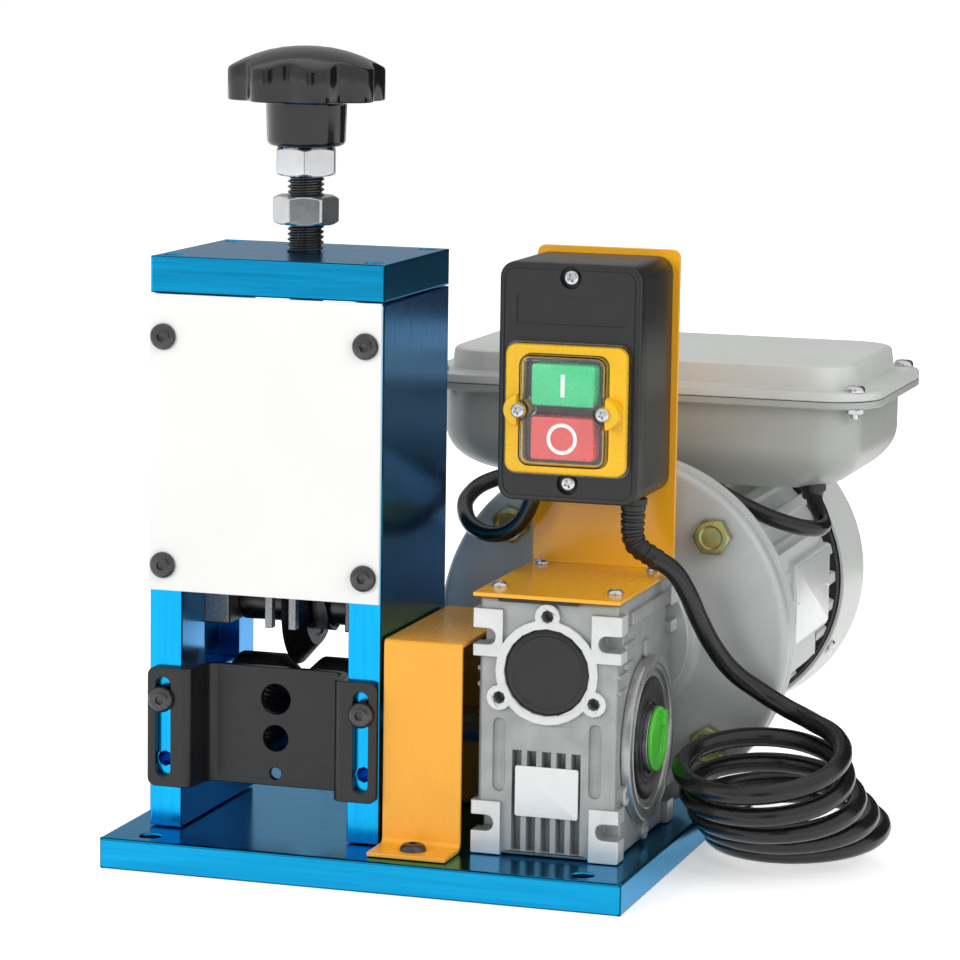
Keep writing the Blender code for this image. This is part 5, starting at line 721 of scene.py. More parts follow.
def makePlug():
    s = plugSet
    y = storedLoops()[-1].y
    z = cordSet["plugStart"][1]
    sections = []
    # from the cord's side to the blades: a waist to grip, then a square shoulder
    for x, width, height in ((-48.4, 0.46, 0.50), (-49.4, 0.58, 0.62), (-52.0, 0.74, 0.78),
                             (-56.0, 0.86, 0.86), (-60.0, 0.84, 0.84), (-65.0, 0.82, 0.84),
                             (-70.0, 0.92, 0.92), (-73.0, 1.0, 1.0), (-79.6, 1.0, 1.0),
                             (-80.5, 0.97, 0.97), (-80.8, 0.91, 0.91)):
        outline = roundedRect(s["halfWidth"] * width, s["halfHeight"] * height, 5.0 * min(width, height),
                              (y, z))
        sections.append([(x, u, v) for u, v in outline])
    shapes = [loftShape(sections)]
    pitch = (s["reliefStart"] - s["bodyStart"]) / s["ribs"]
    rings = [(s["reliefStart"], 0)]
    for n in range(s["ribs"]):
        start = s["reliefStart"] - n * pitch
        radius = s["reliefEnd"] + (s["reliefRadius"] - s["reliefEnd"]) * (n + 1) / s["ribs"]
        rings += [(start, radius - 0.4), (start - 0.4, radius), (start - pitch * 0.55, radius),
                  (start - pitch * 0.6, radius - 0.9), (start - pitch * 0.98, radius - 0.9)]
    rings += [(s["bodyStart"] - 2, s["reliefRadius"]), (s["bodyStart"] - 2, 0)]
    shapes.append(turnedShape(rings, "X", (y, z), 48))
    for k in range(s["grips"]):  # grip ridges on both wide faces
        x = s["gripStart"] - s["gripPitch"] * k
        for side in (-1, 1):
            shapes.append(softSlab((0.55, 7.0), 0.5, z + side * s["halfHeight"] * 0.93,
                                   z + side * s["halfHeight"] * 0.6, 0.4, "Z", (x, y), 3, 4))
    plug = meshPiece("plugBody", together(shapes), "sealBlack", stands=["mains_plug"], angle=40)
    blades = []
    for side in (-1, 1):
        centre = (y + side * s["bladeOffset"], z)
        outline = roundedRect(s["bladeThick"], s["bladeHalf"], 0.25, centre, 3)
        tip = roundedRect(s["bladeThick"] * 0.45, s["bladeHalf"] * 0.62, 0.2, centre, 3)
        neck = s["bladeTip"] + 1.4
        blades.append(prismShape(outline, s["bladeRoot"], neck, "X"))
        blades.append(loftShape([[(neck, u, v) for u, v in outline],
                                 [(s["bladeTip"], u, v) for u, v in tip]]))
    contact = meshPiece("plugBlades", together(blades), "brassBlade")
    return plug, contact


lead = curvePiece("motorLead", leadSet["route"], leadSet["radius"], "cordRubber", ["motor_lead"])
curveLength(lead)
relief = makeRelief()
plug, blades = makePlug()
flex = curvePiece("powerCord", cordRoute(), cordSet["radius"], "cordRubber", ["power_cord", "cord_coil"])
cordLength = curveLength(flex)
print("cords laid, power cord", round(cordLength, 3), "m")


# Screws and nuts

screwSet = {
    "button": dict(radius=5.0, height=2.7, across=3.0, depth=1.5, shank=2.5),
    "cap": dict(radius=3.2, height=3.2, across=3.0, depth=1.8),
}


def hexAt(across):
    return lambda angle: across / 2 / math.cos(angle % (tau / 6) - tau / 12)


def crossAt(reach, width):
    def radius(angle):
        part = (angle + tau / 8) % (tau / 4) - tau / 8
        return min(reach / math.cos(part), width / max(abs(math.sin(part)), 0.0001))
    return radius


def domeRings(flat, radius, rim, height, steps=6):
    rings = []
    for n in range(steps + 1):
        angle = tau / 4 * n / steps
        rings.append((rim + (height - rim) * math.cos(angle), flat + (radius - flat) * math.sin(angle)))
    return rings


def socketHead(radius, height, across, depth, shank, length):
    socket = hexAt(across)
    rings = [(height - depth - across * 0.18, 0), (height - depth, socket), (height - 0.12, socket),
             (height, hexAt(across * 1.07))]
    rings += domeRings(across * 0.78, radius, 0.35, height)
    rings += [(0.05, radius), (0, radius - 0.12), (0, shank), (-length + shank * 0.2, shank),
              (-length, shank * 0.8), (-length, 0)]
    return turnedShape(rings, segments=72)


def capHead(radius, height, across, depth):
    socket = hexAt(across)
    rings = [(height - depth - 0.4, 0), (height - depth, socket), (height - 0.15, socket),
             (height, hexAt(across * 1.06)), (height, radius - 0.45), (height - 0.12, radius - 0.12),
             (height - 0.45, radius), (0, radius), (0, 0)]
    return turnedShape(rings, segments=72)


def panHead(radius, height, length=0.5, shank=1.2):
    rings = [(height * 0.45, 0), (height * 0.45, crossAt(radius * 0.30, radius * 0.10)),
             (height * 0.99, crossAt(radius * 0.52, radius * 0.13))]
    rings += domeRings(radius * 0.55, radius, height * 0.25, height)
    rings += [(0.0, radius * 0.98), (0, shank), (-length, shank), (-length, 0)]
    return turnedShape(rings, segments=64)


def nutShape(across, height, bore, chamfer=0.30):
    side = hexAt(across)
    face = across / 2 * 0.965
    slope = lambda angle: (side(angle) - face) * chamfer * 1.9
    rings = [
        (0.9, bore), (0, bore + 0.9), (0, face), (slope, side), (lambda angle: height - slope(angle), side),
        (height, face), (height, bore + 0.9), (height - 0.9, bore),
    ]
    return turnedShape(rings, segments=96, closed=True)


def boltHead(across, height):
    side = hexAt(across)
    face = across / 2 * 0.94
    slope = lambda angle: height - (side(angle) - face) * 0.55
    rings = [(height - 0.35, 0), (height - 0.35, across * 0.30), (height, across * 0.36), (height, face),
             (slope, side), (0.6, side), (0.6, across * 0.49), (0, across * 0.49), (0, 0)]
    return turnedShape(rings, segments=96)


forward = (0, -1, 0)


# Tower and base

towerSet = {
    "coverScrews": {"cover_screw_1": (-85.25, 200.3), "cover_screw_2": (-5.25, 200.3),
                    "cover_screw_3": (-85.25, 113.75), "cover_screw_4": (-5.25, 113.75)},
    "guideScrews": {"guide_screw_left": (-85.25, 62.3), "guide_screw_right": (-5.25, 62.3)},
    "coverSeatY": -62.6, "coverScrewLength": 14.4, "guideSeatY": -63.6, "guideScrewLength": 15.4,
    "topScrewX": (-85.0, -5.5), "topScrewY": (-53.0, 10.0), "topScrewZ": 226.4,
    "gapFill": {"low": (-91.0, -61.9, 215.0), "high": (0.5, -60.5, 216.2)},
}
guideSet = {
    "x": -45.25, "half": 45.95, "front": -63.3, "depth": 16.0, "thick": 3.0, "topHalf": 28.75,
    "lowHalf": 26.75, "bend": 4.0, "low": 28.5, "top": 74.5, "corner": 3.2, "slotX": 39.6,
    "slotHalf": 2.95, "slotZ": (32.4, 70.8), "holes": ((5.85, 62.2), (5.0, 47.0), (2.35, 33.3)),
}


def makeGuide():
    s = guideSet
    x, front = s["x"], s["front"]
    path = [(x + s["half"], front), (x + s["topHalf"], front), (x + s["lowHalf"], front + s["depth"]),
            (x - s["lowHalf"], front + s["depth"]), (x - s["topHalf"], front), (x - s["half"], front)]
    sheet = prismShape(bentOutline(path, s["bend"], s["thick"]), s["low"], s["top"], "Z")
    middle, high = (s["low"] + s["top"]) / 2, (s["top"] - s["low"]) / 2
    trim = prismShape(roundedRect(s["half"], high, s["corner"], (x, middle)), front - 3, front + 24, "Y")
    cuts = [turnedShape([(front - 3, 0), (front - 3, radius), (front + 24, radius), (front + 24, 0)],
                        "Y", (x, z), 48)
            for radius, z in s["holes"]]
    low, top = s["slotZ"]
    for side in (-1, 1):
        slot = roundedRect(s["slotHalf"], (top - low) / 2, s["slotHalf"] - 0.02,
                           (x + side * s["slotX"], (low + top) / 2))
        cuts.append(prismShape(slot, front - 3, front + 5, "Y"))
    shape = combined(combined(sheet, [trim], "INTERSECT"), cuts)
    meshPiece("bentGuide", shape, "blackPaint", "guide_plate", ["guide_plate"], bevel=0.45, bevelAngle=38)


def makeTower():
    s = towerSet
    keptNode("base_plate", "blueBase", 0.7)
    keptNode("left_side_plate", "blueUpright", 0.5)
    keptNode("right_side_plate", "blueUpright", 0.5)
    keptNode("top_plate", "blueTop", 0.5)
    keptNode("front_cover_plate", "whiteSheet", 0.35)
    p = s["gapFill"]
    meshPiece("topJoint", blockShape(p["low"], p["high"]), "whiteSheet")
    for kind in ("cover", "guide"):
        for name, (x, z) in s[kind + "Screws"].items():
            head = socketHead(**screwSet["button"], length=s[kind + "ScrewLength"])
            head = aimed(head, (x, s[kind + "SeatY"], z), forward, x)  # spun by x, so left and right differ
            meshPiece(name + "_fine", head, "blackOxide", name, [name])
    heads = [aimed(capHead(**screwSet["cap"]), (x, y, s["topScrewZ"]))
             for x in s["topScrewX"] for y in s["topScrewY"]]
    meshPiece("topScrews", together(heads), "blackOxide")


makeTower()
makeGuide()
print("tower done")


# Knob, screw and nuts

knobSet = {
    "centre": (-45.25, -18.0), "reach": 29.9, "lobes": 8, "turn": 27.0, "scallop": 4.2, "hubLow": 270.3,
    "skirt": 287.5, "top": 308.0, "crown": 8.2,
}


def makeKnob():
    s = knobSet
    mean = s["reach"] - s["scallop"] / 2

    def lobed(size, swing, inset=0.0):
        def radius(angle):
            wave = (1 - math.cos(s["lobes"] * (angle - math.radians(s["turn"])))) / 2
            return mean * size + s["scallop"] / 2 * swing * (1 - 2 * wave**1.25) - inset
        return radius

    def domeAt(radius):
        return s["top"] - s["crown"] * (radius / s["reach"]) ** 2.2

    def onDome(radius, drop=0.0):
        return (lambda angle: domeAt(radius(angle)) - drop), radius

    skirt = s["skirt"]
    rings = [
        (s["hubLow"], 0), (s["hubLow"], 12.9), (s["hubLow"] + 0.25, 13.8), (s["hubLow"] + 0.9, 14.5),
        (s["hubLow"] + 1.9, 14.9), (skirt - 1.6, 15.35), (skirt - 0.7, 15.7), (skirt - 0.15, 16.4),
        (skirt, 17.4), (skirt, lobed(0.95, 0.97)), (skirt + 0.15, lobed(0.985, 1)),
        (skirt + 0.6, lobed(1, 1)), onDome(lobed(1, 1), 1.0), onDome(lobed(1, 1, 0.10), 0.5),
        onDome(lobed(1, 1, 0.4), 0.15), onDome(lobed(1, 1, 0.9), 0.01), onDome(lobed(0.86, 0.85)),
        onDome(lobed(0.70, 0.6)), onDome(lobed(0.52, 0.34)), onDome(lobed(0.34, 0.12)),
        onDome(lobed(0.16, 0.0)), (s["top"], 0),
    ]
    shape = turnedShape(rings, "Z", s["centre"], 240)
    meshPiece("starKnob", shape, "knobPlastic", "star_knob", ["star_knob"], angle=50)


threadSet = {"centre": (-45.25, -18.0), "low": 124.5, "high": 272.0, "top": 295.4, "pitch": 2.0,
             "profile": (5.95, 5.95, 6.5, 6.97, 6.97, 6.5), "segments": 40}


def makeScrew():
    s = threadSet
    steps = len(s["profile"])
    rows = round((s["high"] - s["low"]) / s["pitch"] + 2) * steps
    shape = bmesh.new()
    grid = []
    for row in range(rows):
        radius = s["profile"][row % steps]
        line = []
        for n in range(s["segments"]):
            angle = tau * n / s["segments"]
            z = s["low"] - s["pitch"] + s["pitch"] * (row / steps + n / s["segments"])
            line.append(shape.verts.new((s["centre"][0] + radius * math.cos(angle),
                                         s["centre"][1] + radius * math.sin(angle), z)))
        grid.append(line)
    for row in range(rows - 1):
        for n in range(s["segments"] - 1):
            shape.faces.new((grid[row][n], grid[row][n + 1], grid[row + 1][n + 1], grid[row + 1][n]))
        if row + steps + 1 < rows:
            shape.faces.new((grid[row][-1], grid[row + steps][0], grid[row + steps + 1][0],
                             grid[row + 1][-1]))
    for height, outward in ((s["low"], -1), (s["high"], 1)):
        cut = bmesh.ops.bisect_plane(
            shape, geom=shape.verts[:] + shape.edges[:] + shape.faces[:], plane_co=(0, 0, height),
            plane_no=(0, 0, outward), clear_outer=True,
        )
        edges = [item for item in cut["geom_cut"] if isinstance(item, bmesh.types.BMEdge)]
        bmesh.ops.contextual_create(shape, geom=edges)
    rings = [(s["high"] - 1, 0), (s["high"] - 1, 6.4), (s["top"] - 1, 6.4), (s["top"], 5.6), (s["top"], 0)]
    tip = turnedShape(rings, "Z", s["centre"], 48)
    meshPiece("threadedScrew", together([shape, tip]), "blackOxide", "adjusting_screw",
              ["adjusting_screw"], angle=50)


nutSet = {"across": 22.0, "height": 11.0, "bore": 7.1, "jamLow": 259.0, "jamTurn": -12.5,
          "lockLow": 240.6, "lockTurn": 17.5}


def makeNuts():
    # as last tightened: the jam nut with a corner towards the operator, the lock nut with a flat
    s = nutSet
    for kind, name, node in (("jam", "jamNut", "knob_jam_nut"), ("lock", "lockNut", "lock_nut")):
        nut = aimed(nutShape(s["across"], s["height"], s["bore"]), (*knobSet["centre"], s[kind + "Low"]),
                    spin=math.radians(s[kind + "Turn"]))
        meshPiece(name, nut, "brightZinc", node, [node], bevel=0.5, bevelAngle=24)


makeKnob()
makeScrew()
makeNuts()
print("knob and screw done")


# Blade carriage and feed roller

bladeSet = {"axis": (-18.0, 95.0), "x": -45.25, "edge": 24.0, "leftDepth": 1.6, "leftRadius": 20.0,
            "rightDepth": 7.0, "rightRadius": 16.3, "bore": 8.3, "nutStart": -38.0, "nutAcross": 20.3,
            "nutHeight": 6.5, "nutBore": 8.4}
rollerSet = {"axis": (-18.0, 52.3), "x": -45.25, "radius": 21.5, "half": 26.3, "groove": 8.0,
             "grooveDepth": 8.0, "teeth": 72, "toothDepth": 0.45, "bore": 7.2,
             "bearings": {"feed_bearing_left": (-87.5, -78.5), "feed_bearing_right": (-8.0, 1.0)}}


def makeCarriage():
    for name in ("left_bearing_block", "right_bearing_block", "crosshead"):
        keptNode(name, "blockGrey", 0.6)
    keptNode("scraper_fork", "forkGrey", 0.3)
    keptNode("upper_shaft", "darkSteel", 0.3)
    s = bladeSet
    x = s["x"]
    rings = [
        (x - s["leftDepth"], s["bore"]), (x - s["leftDepth"], s["leftRadius"] - 0.3),
        (x - s["leftDepth"] + 0.15, s["leftRadius"]), (x - 0.12, s["edge"] - 0.35), (x + 0.02, s["edge"]),
        (x + 0.3, s["edge"] - 0.35), (x + s["rightDepth"] - 0.3, s["rightRadius"] + 0.2),
        (x + s["rightDepth"], s["rightRadius"] - 0.2), (x + s["rightDepth"], 12.6),
        (x + s["rightDepth"] - 0.5, 12.3), (x + s["rightDepth"] - 0.5, s["bore"]),
    ]
    blade = turnedShape(rings, "X", s["axis"], 144, closed=True)
    meshPiece("blade", blade, "darkSteel", "cutter_blade", ["cutter_blade"], angle=20)
    nut = aimed(nutShape(s["nutAcross"], s["nutHeight"], s["nutBore"]), (s["nutStart"], *s["axis"]),
                (1, 0, 0), 0.3)
    meshPiece("bladeNut", nut, "darkSteel", "blade_nut", ["blade_nut"], angle=24)


def makeRoller():
    s = rollerSet

    def toothed(radius, share=1.0):
        return lambda angle: radius - s["toothDepth"] * share * abs((angle * s["teeth"] / tau) % 1 * 2 - 1)

    x, half, groove = s["x"], s["half"], s["groove"]
    deep = s["radius"] - s["grooveDepth"]
    rings = [
        (x - half, s["bore"]), (x - half, s["radius"] - 1.6),
        (x - half + 1.0, toothed(s["radius"] - 0.3)), (x - half + 1.4, toothed(s["radius"])),
        (x - groove - 0.4, toothed(s["radius"])), (x - groove, toothed(s["radius"] - 0.3)),
        (x - 0.6, toothed(deep + 0.7, 0.6)), (x, toothed(deep, 0.5)), (x + 0.6, toothed(deep + 0.7, 0.6)),
        (x + groove, toothed(s["radius"] - 0.3)), (x + groove + 0.4, toothed(s["radius"])),
        (x + half - 1.4, toothed(s["radius"])), (x + half - 1.0, toothed(s["radius"] - 0.3)),
        (x + half, s["radius"] - 1.6), (x + half, s["bore"]),
    ]
    roller = turnedShape(rings, "X", s["axis"], s["teeth"] * 4, closed=True)
    meshPiece("grooveRoller", roller, "darkSteel", "feed_roller", ["feed_roller"], angle=24)
    keptNode("feed_shaft", "toolSteel", 0.2)
    # ball bearings: outer ring, dark seal, inner ring
    for name, (low, high) in s["bearings"].items():
        rings = [
            (low, 7.2), (low, 9.2), (low + 0.5, 9.4), (low + 0.5, 12.6), (low, 12.8), (low, 14.4),
            (low + 0.6, 15.0), (high - 0.6, 15.0), (high, 14.4), (high, 12.8), (high - 0.5, 12.6),
            (high - 0.5, 9.4), (high, 9.2), (high, 7.2),
        ]
        meshPiece(name + "_rings", turnedShape(rings, "X", s["axis"], 72, closed=True), "toolSteel", name,
                  [name])


makeCarriage()
makeRoller()
print("carriage and roller done")


# Coupling cover and gearbox

gearboxSet = {
    "wormAxis": (64.75, 82.3), "wheelAxis": (-18.0, 52.3), "capRadius": 16.0, "capFace": -57.0,
    "capBack": -54.8, "coverStart": 91.6, "coverEnd": 95.2, "coverRadius": 31.5, "coverRim": 4.5,
    "coverDish": 1.4, "plate": {"low": (53.0, -56.75, 27.5), "high": (77.3, -56.1, 46.5)}, "wall": 91.2,
    "gasket": {"low": (46.0, -58.25, 108.1), "high": (76.5, -57.4, 109.5)},
    # small castings on the right wall: middle across and up, half sizes, corner, how far out
    "pads": ((-16.0, 101.5, 25.0, 2.6, 1.2, 93.0), (-41.0, 92.0, 7.0, 1.1, 0.8, 92.4),
             (-42.0, 84.5, 6.0, 1.1, 0.8, 92.4), (-18.0, 86.9, 4.6, 3.2, 2.0, 92.9)),
    "lugs": ((-46.0, 36.0, 4.2), (-18.0, 17.2, 4.2), (10.0, 36.0, 4.2)),
    "footScrews": ((17.5, -68.6), (17.5, 26.4)), "footTop": 13.9,
}


def makeGearbox():
    s = gearboxSet
    keptNode("gearbox_housing", "castAluminium", 0.5, 35, merge=False)
    keptNode("hollow_output_shaft", "toolSteel", 0.3)
    for name, finish in (("worm", "toolSteel"), ("worm_wheel", "bronze"), ("motor_rotor", "toolSteel"),
                         ("cooling_fan", "blackPaint")):
        keptNode(name, finish)
    keptNode("coupling_cover", "orangePaint", 0.3)
    heads = [aimed(socketHead(**screwSet["button"], length=1.4), (*place, s["footTop"]))
             for place in s["footScrews"]]
    meshPiece("footScrews", together(heads), "blackOxide")
    face, back, radius = s["capFace"], s["capBack"], s["capRadius"]
    rings = [(face + 0.35, 0), (face + 0.35, radius - 2.6), (face, radius - 2.1), (face, radius - 0.7),
             (face + 0.2, radius - 0.2), (face + 0.7, radius), (back, radius), (back, 0)]
    meshPiece("endCap", turnedShape(rings, "Y", s["wormAxis"], 120), "blackPaint",
              stands=["gearbox_end_cap"])
    start, end, radius = s["coverStart"], s["coverEnd"], s["coverRadius"]
    inner = radius - s["coverRim"]
    dish = end - s["coverDish"]
    rings = [
        (start, 12.8), (start, radius), (end - 0.9, radius), (end - 0.3, radius - 0.25),
        (end, radius - 0.8), (end, inner + 1.6), (end - 0.25, inner + 1.3), (end - 0.6, inner + 1.2),
        (end - 0.6, inner + 0.2), (end - 0.2, inner - 0.1), (end - 0.1, inner - 0.4),
        (end - 0.3, inner - 0.9), (dish, inner - 1.5), (dish, 23.4), (dish - 0.5, 23.2),
        (dish - 0.5, 12.8),
    ]
    meshPiece("sideCover", turnedShape(rings, "X", s["wheelAxis"], 144, closed=True), "coverMetal",
              stands=["gearbox_side_cover"])
    rings = [(dish - 0.45, 13.3), (dish - 0.45, 23.1), (dish + 0.1, 22.9), (dish + 0.35, 22.2),
             (dish + 0.35, 17.4), (dish - 0.1, 16.6), (dish - 0.1, 15.4), (dish + 0.5, 14.6),
             (dish + 0.5, 13.5)]
    meshPiece("shaftSeal", turnedShape(rings, "X", s["wheelAxis"], 120, closed=True), "sealBlack")
    # green plug with a pull tab in the hollow shaft
    rings = [(88.3, 0), (88.3, 6.6), (96.5, 6.6), (96.5, 12.2), (97.3, 12.2), (97.9, 11.8), (98.0, 11.2),
             (97.8, 10.6), (97.0, 9.6), (96.9, 8.6), (96.9, 8.1), (96.6, 7.9), (96.6, 7.2), (96.9, 7.0),
             (97.0, 3.0), (97.1, 0)]
    tab = softSlab((2.4, 3.0), 1.1, 98.8, 96.7, 0.5, "X", (-11.6, 59.0))
    shape = together([turnedShape(rings, "X", s["wheelAxis"], 96), tab])
    meshPiece("shaftPlug", shape, "plugGreen", "bore_plug", ["bore_plug"])
    p = s["plate"]
    middle = [(a + b) / 2 for a, b in zip(p["low"], p["high"])]
    half = ((p["high"][0] - p["low"][0]) / 2, (p["high"][2] - p["low"][2]) / 2)
    plate = softSlab(half, 0.8, p["low"][1], p["high"][1], 0.15, "Y", (middle[0], middle[2]), 2, 4)
    meshPiece("gearboxPlate", plate, "plateWhite")
    wall = s["wall"]
    shapes = [softSlab((halfU, halfV), corner, out, wall - 0.6, 0.5, "X", (u, v))
              for u, v, halfU, halfV, corner, out in s["pads"]]
    for y, z, radius in s["lugs"]:
        rings = [(wall - 0.6, 0), (wall - 0.6, radius), (wall + 1.5, radius - 0.1),
                 (wall + 2.0, radius - 0.6), (wall + 2.0, 1.9), (wall + 1.1, 1.6), (wall + 1.1, 0)]
        shapes.append(turnedShape(rings, "X", (y, z), 40))
    meshPiece("castPads", together(shapes), "castAluminium")
    p = s["gasket"]
    meshPiece("topGasket", blockShape(p["low"], p["high"]), "sealBlack")


makeGearbox()
print("gearbox done")


# Flanges and motor

motorSet = {
    "axis": (64.75, 82.3), "boltOffset": 40.66, "boltAcross": 13.0, "boltHead": 5.3, "boltSeat": 28.7,
    "flangeEdge": 70.0, "cowlStart": 174.6, "cowlEnd": 212.6, "cowlFront": 60.5,
    "cowlRear": 62.5, "cowlCorner": 10.0, "cowlWall": 1.5, "cowlScrewsAt": (-28, 62, 152, 242),
    "cowlScrewY": 179.5, "cowlScrewReach": 60.6,
    "slots": 10, "slotHalf": 2.25, "slotRings": ((12.0, 26.0), (31.0, 46.0)),
    "plate": {"padX": (116.5, 122.3), "y": (98.0, 156.5), "z": (69.5, 100.5), "margin": 1.6, "thick": 0.5},
}


def makeFlanges():
    s = motorSet
    axis, edge = s["axis"], s["flangeEdge"]
    rings = [(22.3, 11.6), (22.3, 32.4), (22.9, 33.0), (26.6, 33.0), (27.9, 33.6), (28.8, 34.9),
             (29.0, 36.6), (29.0, 66.6)]
    rings += [(29.0 + 3.0 * (1 - math.cos(a)), 67.0 + 3.0 * math.sin(a))
              for a in (0.26, 0.6, 0.95, 1.25, 1.5708)]
    rings += [(36.4, edge), (37.0, edge - 0.5), (37.0, 11.6)]
    meshPiece("inputFlange", turnedShape(rings, "Y", axis, 192, closed=True), "flangeGrey",
              stands=["input_flange"])
    rings = [(37.3, 11.6), (37.3, edge - 0.6), (37.7, edge), (40.6, edge), (41.0, edge - 0.5),
             (41.5, edge - 0.5), (41.9, edge), (45.2, edge), (45.8, edge - 0.5), (46.0, edge - 1.2),
             (46.0, 30.0), (51.9, 30.0), (51.9, 5.9), (46.2, 5.9), (46.2, 11.6)]
    meshPiece("endShield", turnedShape(rings, "Y", axis, 192, closed=True), "motorGrey",
              stands=["motor_end_shield"])
    places = [(-1, -1), (1, -1), (-1, 1), (1, 1)]
    for number, (sideX, sideZ) in enumerate(places, 1):
        spot = (axis[0] + s["boltOffset"] * sideX, s["boltSeat"], axis[1] + s["boltOffset"] * sideZ)
        name = f"flange_bolt_{number}"
        head = aimed(boltHead(s["boltAcross"], s["boltHead"]), spot, forward, 0.26 * number)
        meshPiece(name + "_fine", head, "oliveZinc", name, [name], angle=24)


def makeMotor():
    s = motorSet
    axis = s["axis"]
    keptNode("motor_housing", "motorGrey", 0.35, 25)
    # the rear shield takes the black finish as painted shade: it stands for the dark gap between the ribs'
    # ends and the fan cowl, not for the shield's own paint
    rings = [(171.6, 5.9), (171.6, 57.9), (172.1, 58.6), (180.4, 58.6), (180.4, 5.9)]
    meshPiece("rearShieldPaintedShade", turnedShape(rings, "Y", axis, 144, closed=True), "blackPaint",
              stands=["motor_rear_shield"])
    start, end, corner, wall = s["cowlStart"], s["cowlEnd"], s["cowlCorner"], s["cowlWall"]
    outer = [(start, s["cowlFront"] - 0.4), (start + 0.3, s["cowlFront"])]
    inner = [(start, s["cowlFront"] - wall)]
    for n in range(11):
        angle = tau / 4 * n / 10
        outer.append((end - corner + corner * math.sin(angle),
                      s["cowlRear"] - corner + corner * math.cos(angle)))
        inner.append((end - corner + (corner - wall) * math.sin(angle),
                      s["cowlRear"] - corner + (corner - wall) * math.cos(angle)))
    rings = outer + [(end, 30.0), (end, 28.6), (end, 0), (end - wall, 0)] + inner[::-1]
    cowl = turnedShape(rings + outer[:1], "Y", axis, 144)
    bmesh.ops.delete(cowl, geom=[face for face in cowl.faces if len(face.verts) > 8], context="FACES_ONLY")
    bmesh.ops.remove_doubles(cowl, verts=cowl.verts, dist=meshSet["join"])
    slots = []
    for low, high in s["slotRings"]:
        for n in range(s["slots"]):
            angle = tau * n / s["slots"]
            outline = roundedRect((high - low) / 2, s["slotHalf"], s["slotHalf"] - 0.02,
                                  ((low + high) / 2, 0))
            slot = prismShape(outline, -wall - 2, 2, "Z")
            bmesh.ops.transform(slot, matrix=Matrix.Rotation(angle, 4, "Z"), verts=slot.verts)
            slots.append(aimed(slot, (axis[0], end, axis[1]), (0, 1, 0)))
    cowl = combined(cowl, [together(slots)])
    meshPiece("fanCowl", cowl, "lidGrey", stands=["fan_cowl"])
    heads = []
    for degrees in s["cowlScrewsAt"]:
        angle = math.radians(degrees)
        out = (math.cos(angle), 0, math.sin(angle))
        spot = (axis[0] + s["cowlScrewReach"] * out[0], s["cowlScrewY"],
                axis[1] + s["cowlScrewReach"] * out[2])
        heads.append(aimed(panHead(3.2, 2.1), spot, out))
    meshPiece("cowlScrews", together(heads), "brightZinc")
    p = s["plate"]
    half = ((p["y"][1] - p["y"][0]) / 2, (p["z"][1] - p["z"][0]) / 2)
    middle = (sum(p["y"]) / 2, sum(p["z"]) / 2)
    padHalf = (half[0] + p["margin"], half[1] + p["margin"])
    padBack, padFront = p["padX"]
    meshPiece("motorPad", softSlab(padHalf, 2.5, padFront, padBack, 0.8, "X", middle), "motorGrey")
    plate = softSlab(half, 1.0, padFront + p["thick"], padFront - 0.1, 0.15, "X", middle, 2, 4)
    pins = [aimed(turnedShape(domeRings(0.1, 1.1, 0, 0.6) + [(-0.3, 1.1), (-0.3, 0)], segments=32),
                  (padFront + p["thick"], middle[0] + side * (half[0] - 2.6), middle[1]),
                  (1, 0, 0)) for side in (-1, 1)]
    meshPiece("motorPlate", together([plate, *pins]), "namePlate")


terminalSet = {
    "centre": (64.75, 118.0), "half": (93.5, 55.0), "corner": 20.0, "bottom": 134.0, "waist": 153.0,
    "rimTop": 172.1, "rim": 2.8, "wallInset": 4.5, "endInset": 8.0, "belly": 24.0, "saddle": 59.1,
    "lidLow": 172.4, "lidTop": 185.4, "screwX": 85.0, "screwY": 46.6,
}


